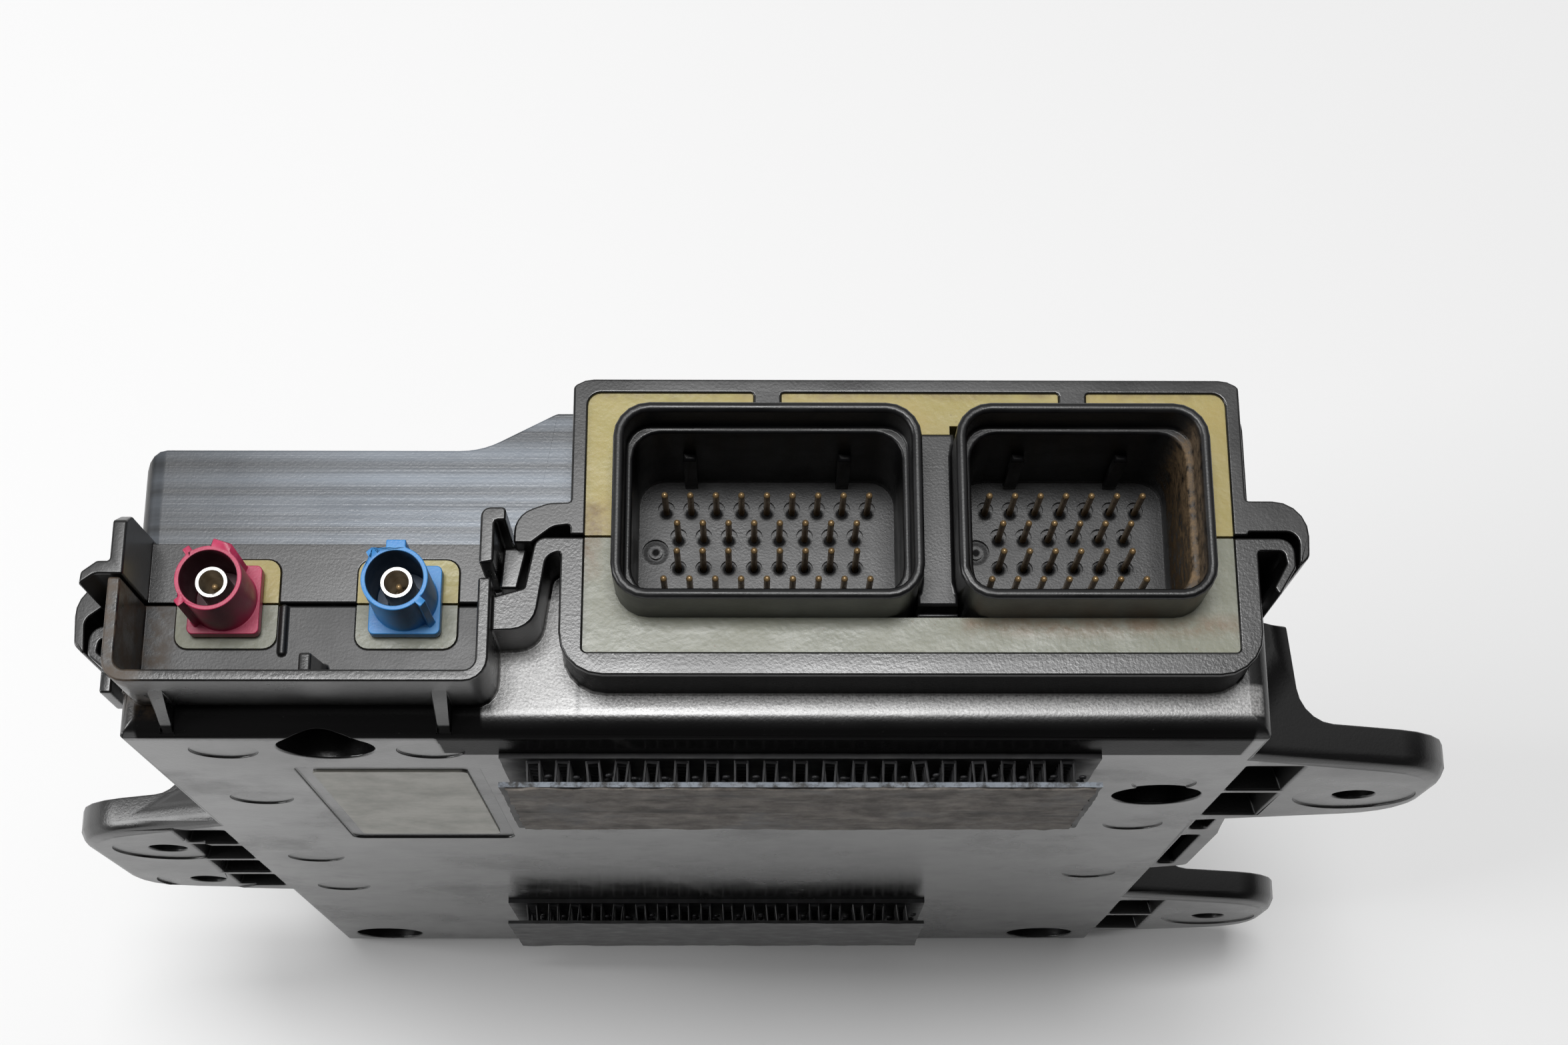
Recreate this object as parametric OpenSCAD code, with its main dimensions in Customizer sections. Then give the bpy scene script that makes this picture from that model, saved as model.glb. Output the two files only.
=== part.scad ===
// Sealed vehicle control unit: a two-part moulded housing with two pin headers and two coax plugs in front.
// It stands on its rear end. X runs across it, Y from the label face to the cover, Z to the front end.

/* [Housing] */
// Width between the side walls
body_w = 132; // [126:1:146]
// Length from the rear end to the front wall
body_l = 162; // [156:1:184]
// Thickness from the label face to the top of the cover
body_t = 40; // [39:0.5:44]
// Drop of the low half of the cover, on the side of the coax plugs
cover_drop = 4.8; // [3.5:0.1:6]
// Width of the slope between the low and the high half of the cover
slope_w = 9; // [7:0.1:12]
// Wall thickness
wall = 2.2; // [1.8:0.1:2.5]
// Rounding of the outer edges
edge_r = 2.7; // [1.5:0.1:3]
// Rounding of the long edges of the label face
face_r = 0.8; // [0.4:0.1:1.2]
// Radius of the hollow at the foot of the cover's slope
slope_r = 10; // [4:0.5:14]
// Height of the seam above the label face, beside the pin headers
seam_high = 21; // [20:0.1:22]
// Height of the seam above the label face, at the coax plugs
seam_low = 15.5; // [15:0.1:16.2]
// Gap of the seam between the two mouldings
seam_gap = 0.3; // [0.2:0.05:0.5]
// Set-back of the cover's front above the coax plugs
cover_setback = 2; // [1:0.1:3]

/* [Seam lips] */
// Reach of the cover's hooked lip past the side wall, beside the pin headers
lip_out = 3.6; // [3:0.1:4.5]
// Reach of the cover's hooked lip past the side wall, beside the coax plugs
lip_out_left = 5.7; // [5:0.1:6.5]
// How far the lips beside the coax plugs lie below the seam
lip_sink = 2.7; // [2.2:0.1:3.2]
// Thickness of the lips
lip_t = 1.6; // [1.2:0.1:2]
// Drop of the cover's lip below the seam
lip_drop = 3.7; // [3:0.1:4.5]
// Clearance between the two lips
lip_clear = 0.4; // [0.3:0.1:0.6]

/* [Header block] */
// Distance between neighbouring pins of a row
pitch = 3; // [2.9:0.05:3.1]
// Distance from an outer pin row to the next inner row
row_gap = 3.4; // [3.2:0.1:3.6]
// Distance between the two inner pin rows
mid_gap = 4; // [3.8:0.1:4.2]
// Height of the shrouds
shroud_h = 22.9; // [22:0.1:24]
// Wall of the shrouds
shroud_wall = 2; // [1.6:0.1:2.2]
// Distance from the last pin of the long row to the outside of its shroud
shroud_margin = 5.2; // [4.8:0.1:5.6]
// Gap between the two shrouds
shroud_gap = 3.75; // [3:0.05:5]
// Depth of the shrouds from rim to floor
shroud_depth = 22; // [20:0.5:24]
// How far the shrouds stand out of the front wall
shroud_stand = 16.5; // [15:0.5:18]
// Diameter of the contact pins
pin_d = 0.8; // [0.6:0.05:1]
// Length of the contact pins above the header floor
pin_len = 6.5; // [5:0.1:8]
// Depth from the rim of a shroud to the ledge inside it
mouth_depth = 4.9; // [3:0.1:7]
// Wall of the raised frame round the headers, on the base
block_wall = 2.7; // [2.2:0.1:3]
// Wall of the raised frame round the headers, on the cover
cover_wall = 1.7; // [1.4:0.1:2]
// How far the raised frame stands out of the front wall
block_rise = 9; // [7:0.1:11]
// Distance from the frame to the side of the housing
block_inset = 2.6; // [2:0.1:4]
// Width of the potting beside the shrouds
potting_side = 3.4; // [2.8:0.1:4]
// Width of the potting above the shrouds
potting_above = 3.9; // [3.4:0.1:4.4]
// Width of the potting below the shrouds
potting_below = 4; // [3.5:0.1:4.5]
// Distance from the rim of the frame down to the potting
potting_drop = 0.35; // [0.2:0.05:0.8]

/* [Coax bay] */
// Distance from the skirt round the coax plugs to the raised frame, where the seam steps
bay_step = 7.4; // [7:0.1:8]
// Distance from the skirt to the side of the housing
bay_inset = 0.9; // [0.6:0.1:1.5]
// Distance from the seam to the lower wall of the skirt
bay_drop = 12.1; // [11.5:0.1:12.6]
// Wall of the skirt
skirt_wall = 1.4; // [1.1:0.1:1.8]
// How far the skirt stands out of the front wall
skirt_rise = 11.5; // [10:0.1:13]
// How far each coax plug stands in from the middle of its half of the skirt, towards the other plug
plug_draw = 0.25; // [0:0.05:0.6]
// Outside diameter of a coax plug's barrel
barrel_d = 7.5; // [7.2:0.1:7.8]
// Wall of a coax plug's barrel
barrel_wall = 0.55; // [0.45:0.05:0.7]
// How far a barrel stands out of the front wall
barrel_rise = 10.6; // [9.5:0.1:11.4]
// Side of the square flange behind a barrel
flange_w = 8.2; // [8:0.1:9]
// Outside diameter of a coax plug's metal tube
tube_d = 3.65; // [3.4:0.05:3.8]
// Wall of the metal tube
tube_wall = 0.45; // [0.35:0.05:0.5]
// Width of the potted window behind a coax plug
window_w = 11.6; // [11:0.1:12]
// Height of the potted window behind a coax plug
window_h = 10.6; // [10:0.1:11.2]

/* [Feet] */
// Thickness of the mounting feet
foot_t = 5; // [4:0.1:6]
// Diameter of the bolt holes in the feet
bolt_d = 5.3; // [5:0.1:5.6]
// Diameter of the flat round each bolt hole
spot_d = 15.4; // [13:0.1:16]
// Distance from the right side wall to the bolt holes
foot_right_out = 17.2; // [16:0.1:19]
// Distance from the left side wall to the bolt holes
foot_left_out = 11; // [10:0.1:13]
// Distance of the front right bolt hole from the front wall
foot_near = 34.2; // [32:0.1:38]
// Distance of the rear right bolt hole from the rear end
foot_far = 26.7; // [24:0.1:32]
// Distance of the middle of the left foot from the front wall
foot_left_mid = 85; // [82:0.5:88]
// Distance between the two bolt holes of the left foot
foot_left_gap = 26; // [24:0.1:28]

/* [Screws] */
// Diameter of the screw wells in the label face
well_d = 11.25; // [10:0.05:12]
// Depth of the screw wells
well_depth = 8; // [7:0.1:8.5]
// Wall of the bosses round the screw wells
boss_wall = 1.5; // [1.2:0.1:1.6]
// Shank diameter of the housing screws
screw_d = 3.8; // [3.4:0.1:4.2]
// Head diameter of the housing screws
screw_head_d = 7.6; // [7:0.1:8.4]
// Clearance of a screw shank in the piece that it passes
screw_clear = 0.3; // [0.2:0.05:0.4]

/* [Circuit board] */
// Thickness of the circuit board
board_t = 1.6; // [1.2:0.1:2]
// Height of the board's bosses above the inside of the label face
board_lift = 6.2; // [5.8:0.1:6.6]
// Gap between the board's edge and the housing walls
board_gap = 1.6; // [1.2:0.1:2.2]

/* [Label and fastener strips] */
// Width of the blank label
label_w = 18.8; // [16:0.1:20]
// Length of the blank label
label_l = 40; // [36:0.5:42]
// Border between the label and the edge of its recess
label_border = 1.8; // [1:0.1:2.5]
// Length of the front fastener strip
strip_front_w = 71; // [60:0.5:74]
// Length of the rear fastener strip
strip_rear_w = 67; // [56:0.5:70]
// Width of the fastener tape
strip_h = 25.4; // [22:0.1:26]
// Thickness of one tape backing
tape_t = 0.6; // [0.4:0.1:0.8]
// Length of the stems between two mated tapes
stem_l = 2.8; // [2:0.1:3.2]
// Distance between neighbouring pairs of stems
stem_pitch = 3.5; // [3:0.1:4]
// Distance between the two stems of a pair
stem_gap = 1.45; // [1.2:0.05:1.6]
// Thickness of the adhesive foam on the front strip
foam_t = 0.4; // [0.3:0.1:0.8]

/* [Hidden] */
$fn = 48;
// Overlap that joins shapes of one piece and clears cuts
eps = 0.4;
// Segments of a rounded corner
arc_steps = 5;
// Reach of cutting shapes past the whole unit
far = 300;

half_w = body_w / 2;
face_y = -body_t / 2;
top_y = body_t / 2;
low_y = top_y - cover_drop;
seam_hi_y = face_y + seam_high;
seam_lo_y = face_y + seam_low;
half_gap = seam_gap / 2;
front_z = body_l;

// Pin headers: the long rows have these numbers of pins, the inner rows one less
LARGE = 9;
SMALL = 7;
function shroud_w(count) = (count - 1) * pitch + 2 * shroud_margin;
headers_w = shroud_w(LARGE) + shroud_gap + shroud_w(SMALL);
block_w = headers_w + 2 * (block_wall + potting_side);
thinner = block_wall - cover_wall;
block_x1 = half_w - block_inset;
block_x0 = block_x1 - block_w;
headers_x0 = block_x0 + block_wall + potting_side;
large_x = headers_x0 + shroud_w(LARGE) / 2;
small_x = headers_x0 + headers_w - shroud_w(SMALL) / 2;
header_y = top_y - cover_wall - potting_above - shroud_h / 2;
block_y0 = header_y - shroud_h / 2 - potting_below - block_wall;
rim_z = front_z + block_rise;
potting_z = rim_z - potting_drop;
shroud_z = front_z + shroud_stand;
floor_z = shroud_z - shroud_depth;
block_r_low = 5;
block_r_top = 3.3;
well_r = 1;
bridge_x0 = large_x + shroud_w(LARGE) / 2;
bridge_notch = 1.1;
bridge_slot = 0.7;
bridge_low = 1.2;
tab_w = 3.2;
shroud_r = 4;
rim_wall = 1.2;
key_w = 1.5;
key_out = 0.8;
key_h = 10;
sink_d = 2;
sink_t = 0.5;
dimple_d = 3.2;
header_floor_t = 3.2;
collar_out = 2.4;
collar_clear = 0.1;
fit_clear = 0.05;
pin_lift = 0.65;
row_ys = [for (s = [1.5, 0.5, -0.5, -1.5])
    header_y + pin_lift + sign(s) * (mid_gap / 2 + (abs(s) > 1 ? row_gap : 0))];

// Coax bay
bay_x0 = -half_w + bay_inset;
bay_x1 = block_x0 - bay_step;
bay_w = bay_x1 - bay_x0;
plug_gap = bay_w / 2 - 2 * plug_draw;
bay_mid = (bay_x0 + bay_x1) / 2;
bay_y0 = seam_lo_y - bay_drop;
bay_r = 2.7;
skirt_z = front_z + skirt_rise;
ledge_y = seam_lo_y + 7.3;
blade_y = seam_lo_y + 8;
blade_cut = 1.6;
blade_run = 2.4;
hook_y = seam_lo_y + 8.1;
hook_t = 1.6;
hook_out = 1.2;
hook_gap = 1.4;
tongue_drop = 3;
red_x = bay_mid - plug_gap / 2;
blue_x = bay_mid + plug_gap / 2;
plug_y = seam_lo_y;
flange_z = front_z + 0.5;
flange_t = 1.5;
flange_clear = 0.1;
barrel_z = front_z + barrel_rise;
tube_drop = 1.7;
coax_clear = 0.3;
coax_body_w = 6.4;
coax_body_l = 6.2;
coax_pin_d = 0.7;
leg_d = 0.9;
leg_inset = 0.8;
leg_out = 1;

// The seam steps down between the header block and the coax bay
step_x = (bay_x1 + block_x0) / 2;
step_run = 0.7;
step_r = 1.4;
rib_t = 2.2;
lip_z = 4;
lip_join = 4;
lip_end = 1;
slope_gap = 1.7;
side_step = 2.4;
side_in = 1.4;
lip_left_y = seam_lo_y - lip_sink;

// Feet
// Each foot's reach along Z from its middle: rear root, rear tip, front tip, front root
FOOT_RIGHT = [-17.3, -11.3, 14, 23.2];
FOOT_LEFT = [-22.5, -19.5, 22, 33];
// Each foot's rim past its bolt holes, and the radii of its rear and front corner
RIM_RIGHT = [9.7, 8.5, 11];
RIM_LEFT = [11.8, 9, 13];
foot_r = 1.8;
spot_t = 0.25;
foot_near_z = front_z - foot_near;
foot_far_z = foot_far;
foot_left_z = front_z - foot_left_mid;
gusset_run = 6.4;
gusset_lean = 1.2;
gusset_r = 4.5;
gusset_clear = 0.6;
pocket_skin = 2;
rib_w = 1.4;
rail_l = 40;
rail_out = 5;
rail_w = 2.2;
rail_t = 2;

// Screw wells
wells = [[bay_mid + 0.7, front_z - 6.4], [half_w - 8.2, front_z - 33.7],
         [-half_w + 8.6, 8.8], [half_w - 9.3, 8.8]];
boss_d = well_d + 2 * boss_wall;
post_d = screw_d + 5;
well_y = face_y + well_depth;
head_t = 2.8;
screw_tip = 7;
function seam_at(x) = x < step_x ? seam_lo_y : seam_hi_y;
function cover_at(x) = x < step_x ? low_y : top_y;

// Circuit board
board_y0 = face_y + wall + board_lift;
board_y1 = board_y0 + board_t;
board_x = half_w - wall - board_gap;
board_z0 = wall + board_gap;
board_front = floor_z - header_floor_t - board_gap;
coax_front = front_z - wall - board_gap / 2;
tail_step = 2.5;
board_hole = 0.3;
board_screw_d = 2.9;
screw_cap_d = 5.6;
screw_cap_t = 2;
board_boss_d = 6.5;
board_bosses = [[-half_w + 9, front_z - 29], [half_w - 18, front_z - 52],
                [-half_w + 22, 12], [half_w - 24, 12]];

// Parts on the board: width, length and height of each, and where it stands
shield_w = 34;
shield_l = 44;
shield_h = 4;
shield_t = 0.4;
shield_x = -board_x + shield_w / 2 + 1.2;
shield_z = front_z - 60;
chip_w = 24;
chip_h = 2.2;
chip_x = 14;
chip_z = front_z - 72;
memory_w = 12;
memory_l = 18;
memory_h = 1.2;
memory_z = chip_z - 28;
inductor_w = 12;
inductor_h = 6;
inductor_x = board_x - 20.2;
inductor_z = 54.5;
can_d = 10;
can_h = 10.2;
can_pitch = 13;
can_x = 12;
can_z = 32;

// Label and strips
label_x = bay_mid + 6.1;
label_z = front_z - 39.8;
label_t = 0.25;
recess_t = 0.3;
strip_front_x = 12;
strip_front_z = front_z - 21.8;
strip_rear_x = 0.5;
strip_rear_z = front_z - 128.5;
stem_d = 0.55;
stem_row = 1.75;
stem_clear = 0.1;
mark_d = 8;
mark_t = 0.2;
marks = [[bay_x0 + 9.7, 3], [bay_x1 - 8.5, 3], [bay_x0 + 8.8, 30.1], [bay_x0 + 8.2, 72.5],
         [bay_x0 + 8, 97.9], [half_w - 8.4, 21.4], [half_w - 8.3, 47.6], [half_w - 9, 86.5]];

// Outlines

function unit(v) = v / norm(v);

// Arc that rounds the corner p between its neighbours a and b; p[2] is the radius
function corner_arc(a, p, b) =
    let (at = [p[0], p[1]],
         u = unit([a[0], a[1]] - at),
         v = unit([b[0], b[1]] - at),
         half = acos(u * v) / 2,
         centre = at + unit(u + v) * p[2] / sin(half),
         start = at + u * p[2] / tan(half) - centre,
         finish = at + v * p[2] / tan(half) - centre,
         first = atan2(start[1], start[0]),
         turn = atan2(start[0] * finish[1] - start[1] * finish[0], start * finish))
    [for (k = [0 : arc_steps])
        centre + p[2] * [cos(first + turn * k / arc_steps), sin(first + turn * k / arc_steps)]];

// Closed outline from corners [x, y, radius]
function rounded(corners) =
    let (n = len(corners))
    [for (i = [0 : n - 1])
        let (p = corners[i])
        each p[2] == 0
            ? [[p[0], p[1]]]
            : corner_arc(corners[(i + n - 1) % n], p, corners[(i + 1) % n])];

function reversed(list) = [for (i = [len(list) - 1 : -1 : 0]) list[i]];

// Rectangle from x0, y0 to x1, y1 with one radius on its lower and one on its upper corners
function frame_corners(x0, y0, x1, y1, r_low, r_top) =
    [[x0, y0, r_low], [x1, y0, r_low], [x1, y1, r_top], [x0, y1, r_top]];

module round_box(x0, y0, x1, y1, r) {
    polygon(rounded(frame_corners(x0, y0, x1, y1, r, r)));
}

// The seam from left to right, raised by rise
function seam_line(rise) = [
    [-far, seam_lo_y + rise, 0],
    [step_x - step_run - rise, seam_lo_y + rise, step_r],
    [step_x + step_run - rise, seam_hi_y + rise, step_r],
    [far, seam_hi_y + rise, 0]
];

// Placing

// Extrudes an outline of x and y from z0 to z1
module along_z(z0, z1) {
    translate([0, 0, z0])
        linear_extrude(z1 - z0)
            children();
}

// Extrudes an outline of x and z from y0 to y1
module along_y(y0, y1) {
    translate([0, y1, 0])
        rotate([90, 0, 0])
            linear_extrude(y1 - y0)
                children();
}

// Extrudes an outline of y and z from x0 to x1
module along_x(x0, x1) {
    translate([x0, 0, 0])
        rotate([90, 0, 90])
            linear_extrude(x1 - x0)
                children();
}

// Round bar along Y at x, z
module y_bar(x, z, d, y0, y1) {
    translate([x, y1, z])
        rotate([90, 0, 0])
            cylinder(d = d, h = y1 - y0);
}

// Round bar along Z at x, y
module z_bar(x, y, d, z0, z1) {
    translate([x, y, z0])
        cylinder(d = d, h = z1 - z0);
}

module below_seam() {
    along_z(-far, far)
        polygon(rounded(concat([[far, -far, 0], [-far, -far, 0]], seam_line(-half_gap))));
}

module above_seam() {
    along_z(-far, far)
        polygon(rounded(concat([[far, far, 0], [-far, far, 0]], seam_line(half_gap))));
}

// Housing

// Cross-section of the closed housing, drawn in by inset
module housing_section(inset) {
    top_x1 = block_x0 - slope_gap;
    polygon(rounded([
        [-half_w + inset, face_y + inset, face_r],
        [half_w - inset, face_y + inset, face_r],
        [half_w - inset, seam_hi_y + side_step, 0],
        [half_w - side_in - inset, seam_hi_y + side_step + side_in, 0],
        [half_w - side_in - inset, top_y - inset, edge_r],
        [top_x1 + inset / 2, top_y - inset, edge_r],
        [top_x1 - slope_w + inset / 2, low_y - inset, slope_r],
        [-half_w + inset, low_y - inset, edge_r]
    ]));
}

// Side view of the housing, rounded along the front and rear edges
module housing_side() {
    polygon(rounded(frame_corners(face_y, 0, top_y, front_z, edge_r, edge_r)));
}

// Plan of the housing up to z1, with its upright edges rounded
module housing_plan(z1) {
    round_box(-half_w, 0, half_w, z1, edge_r);
}

// Space in front of the set-back part of the cover, grown by inset
module setback(inset) {
    translate([-far, ledge_y - inset, front_z - cover_setback - inset])
        cube([far + block_x0 + thinner + inset, far, far]);
}

module housing_hull() {
    difference() {
        intersection() {
            along_z(0, front_z)
                housing_section(0);
            along_x(-half_w, half_w)
                housing_side();
            along_y(-far, far)
                housing_plan(front_z);
        }
        setback(0);
        // The low half of the cover is rounded down to its own front
        difference() {
            translate([-far, ledge_y, 0])
                cube([far, far, far]);
            along_y(-far, far)
                round_box(-half_w, 0, half_w, front_z - cover_setback, edge_r);
            translate([block_x0 + thinner, ledge_y, 0])
                cube([far, far, far]);
        }
    }
}

module housing_cavity() {
    difference() {
        along_z(wall, front_z - wall)
            housing_section(wall);
        setback(wall);
    }
}

// Outline of the raised frame, with the base's wider and the cover's narrower half
module block_outline() {
    difference() {
        polygon(rounded(frame_corners(block_x0, block_y0, block_x1, top_y, block_r_low, block_r_top)));
        for (x = [block_x0 - far + thinner, block_x1 - thinner])
            translate([x, seam_hi_y])
                square([far, far]);
    }
    polygon(rounded(frame_corners(block_x0 + thinner, block_y0 + block_wall, block_x1 - thinner, top_y,
                                  well_r, block_r_top)));
}

// Outline of the potted well inside the raised frame
module well_outline() {
    polygon(rounded(frame_corners(block_x0 + block_wall, block_y0 + block_wall, block_x1 - block_wall,
                                  top_y - cover_wall, well_r / 2, 1.5 * well_r)));
}

// Outline of both shrouds with the bridge between them, grown by grow
module headers_outline(grow) {
    round_box(headers_x0 - grow, header_y - shroud_h / 2 - grow,
              headers_x0 + headers_w + grow, header_y + shroud_h / 2 + grow, shroud_r);
}

// Raised frame round the pin headers, with its well and the opening for the connector
module header_frame() {
    difference() {
        along_z(front_z - wall, rim_z)
            block_outline();
        along_z(front_z, far)
            well_outline();
        along_z(0, far)
            headers_outline(fit_clear);
    }
    // Tabs that centre the shrouds under the upper wall
    for (x = [large_x, small_x])
        along_z(front_z - eps, rim_z)
            translate([x - tab_w / 2, header_y + shroud_h / 2 + fit_clear])
                square([tab_w, top_y - header_y - shroud_h / 2 - fit_clear - cover_wall / 2]);
}

// Skirt round the coax plugs on the base, open at the seam
module bay_skirt() {
    along_z(front_z - eps, skirt_z)
        difference() {
            polygon(rounded([
                [bay_x0, bay_y0, bay_r], [bay_x1, bay_y0, bay_r],
                [bay_x1, seam_lo_y - half_gap, 0], [bay_x0, seam_lo_y - half_gap, 0]
            ]));
            polygon(rounded([
                [bay_x0 + skirt_wall, bay_y0 + skirt_wall, bay_r - skirt_wall],
                [bay_x1 - skirt_wall, bay_y0 + skirt_wall, bay_r - skirt_wall],
                [bay_x1 - skirt_wall, far, 0], [bay_x0 + skirt_wall, far, 0]
            ]));
        }
}

// Left blade of the skirt on the cover, with its chamfered top and the end plate of the lip
module left_blade() {
    y0 = seam_lo_y + half_gap;
    along_x(bay_x0, bay_x0 + skirt_wall + 0.2)
        polygon([[y0, front_z - wall], [blade_y, front_z - wall], [blade_y - 0.4, skirt_z - blade_run],
                 [blade_y - blade_cut, skirt_z], [y0, skirt_z]]);
    along_z(front_z - wall, skirt_z)
        polygon([[bay_x0 + skirt_wall / 2, y0], [bay_x0 + skirt_wall / 2, y0 + 1.6], [bay_x0 - 1.4, y0 + 1.6],
                 [bay_x0 - 3.1, y0 + 0.3], [bay_x0 - 3.2, y0 - 1.25], [bay_x0 - 1.5, y0]]);
}

// Right wall of the skirt on the cover: a hook that ends above the base
module right_hook() {
    x = bay_x1 - skirt_wall;
    along_z(front_z - cover_setback - eps, skirt_z)
        polygon(rounded([
            [x, seam_lo_y + hook_gap, 0], [x + hook_t, seam_lo_y + hook_gap + 0.3, 0],
            [x + hook_t, hook_y - hook_t, 0], [x + hook_t + hook_out, hook_y - hook_t, 0],
            [x + hook_t + hook_out, hook_y, 0.5], [x, hook_y, 1.1]
        ]));
}

// Tongue of the cover between the hook and the step of the seam
module seam_tongue() {
    y0 = seam_lo_y + half_gap;
    along_z(front_z - wall, rim_z - tongue_drop)
        polygon([[bay_x1 + 0.4, y0], [step_x - step_run - 0.6, y0],
                 [step_x - 0.3, y0 + 4.8], [bay_x1 + 0.7, y0 + 4.8]]);
}

module plug_window(x) {
    round_box(x - window_w / 2, plug_y - window_h / 2, x + window_w / 2, plug_y + window_h / 2, 1.5);
}

// Everything that both mouldings share, before the seam divides it
module housing_whole() {
    difference() {
        union() {
            difference() {
                housing_hull();
                housing_cavity();
                along_z(front_z - wall - eps, far)
                    well_outline();
            }
            header_frame();
            bay_skirt();
        }
        plug_windows();
    }
}

module plug_windows() {
    for (x = [red_x, blue_x])
        along_z(front_z - wall - eps, front_z + eps)
            plug_window(x);
}

// Room for the metal bodies of the coax plugs behind the front wall
module coax_pockets() {
    half = coax_body_w / 2 + coax_clear;
    z0 = flange_z - flange_clear - coax_body_l - coax_clear;
    for (x = [red_x, blue_x]) {
        along_z(z0, front_z - eps)
            round_box(x - half, plug_y - half, x + half, plug_y + half, 0.4);
        along_z(z0, front_z - wall)
            round_box(x - half, board_y0 - leg_out - coax_clear, x + half, plug_y, 0.4);
    }
}

// Hooked lip of the cover on the right side, with a reach of out past the wall and its gap at height y.
// The lip leaves the cover at height y + rise
module cover_lip(y, out, rise, root) {
    x = half_w + out;
    low = y + half_gap + lip_clear;
    sunk = rise > 0;
    polygon(rounded(concat(
        [[root, low + rise, 0]],
        sunk ? [[half_w + 0.7, low + rise, 0]] : [],
        [[x - lip_t + 0.2, low, 1.4], [x - lip_t - 0.1, y - lip_drop, 0.2],
         [x - 0.4, y - lip_drop + 1.3, 1.2], [x, y + 4.3, 4]],
        sunk ? [[half_w, y + 4.3 + rise / 2, rise]] : [],
        [[root, y + 4.3 + rise / 2, 0]]
    )));
}

// Curled lip of the base on the right side, inside the cover's lip
module base_lip(y, out, root) {
    x = half_w + out - lip_t - lip_clear;
    polygon(rounded([
        [root, y - half_gap, 0],
        [x, y - half_gap, 1.8],
        [x, y - 3.6, 1],
        [half_w - 0.5, y - 7, 0],
        [half_w - 1.1, y - 6, 0],
        [x - 1.1, y - 3.2, 0.4],
        [x - 1.3, y - half_gap - lip_t, 0.6],
        [root, y - half_gap - lip_t, 0]
    ]));
}

// Plan of a foot on the right side, drawn in by inset
module foot_plan(outer, mid_z, reach, rim, inset) {
    polygon(rounded([
        [half_w - 1, mid_z + reach[0] + inset, 0], [outer - inset, mid_z + reach[1] + inset, rim[1]],
        [outer - inset, mid_z + reach[2] - inset, rim[2]], [half_w - 1, mid_z + reach[3] - inset, 0]
    ]));
}

// Foot on the right side: bolt holes at z in holes, under a lip whose gap is at height lip_y
module foot(out, holes, mid_z, reach, rim, lip_y) {
    outer = half_w + out + rim[0];
    foot_y = face_y + foot_t;
    top_y = lip_y - lip_drop - gusset_clear;
    difference() {
        intersection() {
            hull()
                for (step = [[0, foot_r], [0.3, 0.3 * foot_r], [1, 0], [10, 0]])
                    along_y(face_y + step[0] * foot_r, face_y + step[0] * foot_r + eps)
                        foot_plan(outer, mid_z, reach, rim, step[1]);
            along_z(mid_z + reach[0], mid_z + reach[3])
                polygon(rounded([
                    [half_w - 1, face_y, 0], [outer + 1, face_y, 0], [outer + 1, foot_y, 0],
                    [half_w + gusset_run, foot_y, gusset_r], [half_w + gusset_run - gusset_lean, top_y, 0],
                    [half_w - 1, top_y, 0]
                ]));
        }
        for (z = holes) {
            y_bar(half_w + out, z, bolt_d, face_y - 1, far);
            y_bar(half_w + out, z, spot_d, face_y - 1, face_y + spot_t);
        }
        foot_pockets(mid_z + (reach[0] + reach[3]) / 2, reach[3] - reach[0] - 9);
    }
}

// Hollows under the root of a foot, between thin ribs
module foot_pockets(mid_z, span) {
    count = round(span / 13);
    step = span / count;
    for (k = [0 : count - 1])
        along_z(mid_z - span / 2 + k * step + rib_w / 2, mid_z - span / 2 + (k + 1) * step - rib_w / 2)
            polygon(rounded([
                [half_w, face_y - 1, 0], [half_w + 7.4, face_y - 1, 0],
                [half_w + gusset_run, face_y + foot_t - pocket_skin, 1.5],
                [half_w + 2, lip_left_y - lip_drop - gusset_clear - pocket_skin, 0.5],
                [half_w, lip_left_y - lip_drop - gusset_clear - pocket_skin, 0]
            ]));
}

// Tie rail behind the front right foot: a bar beside the wall with two openings
module tie_rail() {
    z1 = foot_near_z + FOOT_RIGHT[0] + 2;
    along_y(face_y + 0.4, face_y + 0.4 + rail_t)
        difference() {
            polygon(rounded([
                [half_w - 1, z1 - rail_l, 0], [half_w + rail_out, z1 - rail_l + 3, 1.5],
                [half_w + rail_out, z1 - 12, 3], [half_w + rail_out - 1.6, z1 + 2, 0], [half_w - 1, z1 + 2, 0]
            ]));
            round_box(half_w + 0.3, z1 - 9, half_w + rail_out - rail_w, z1 - 1.6, 0.8);
            round_box(half_w + 0.3, z1 - rail_l + 4, half_w + rail_out - rail_w, z1 - 13, 0.8);
        }
}

// Small catch low on the left side, near the front
module side_catch() {
    catch_y = seam_lo_y - 10.2;
    along_z(front_z - 9.3, front_z - 1.3)
        difference() {
            translate([-half_w - 2.6, catch_y])
                square([2.6 + eps, 3.2]);
            translate([-half_w - 1.2, catch_y - eps])
                square([1.2, 2.2 + eps]);
        }
}

// Rib of the base that follows the step of the seam on the front wall
module step_rib() {
    y1 = seam_hi_y - half_gap;
    y0 = seam_lo_y - half_gap - 0.5;
    x = step_x + step_run + half_gap;
    along_z(front_z - eps, rim_z)
        polygon(rounded([
            [block_x0 + eps, y1, 0], [x, y1, step_r], [x - 1.1, y0, 0.4], [bay_x1 - eps, y0 - 1.1, 0],
            [bay_x1 - eps, y0 - 5, 0], [x + 0.1, y0 - 4.8, 3], [x + 1.3, y1 - rib_t, 1.4],
            [block_x0 + eps, y1 - rib_t + 0.6, 0]
        ]));
}

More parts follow.
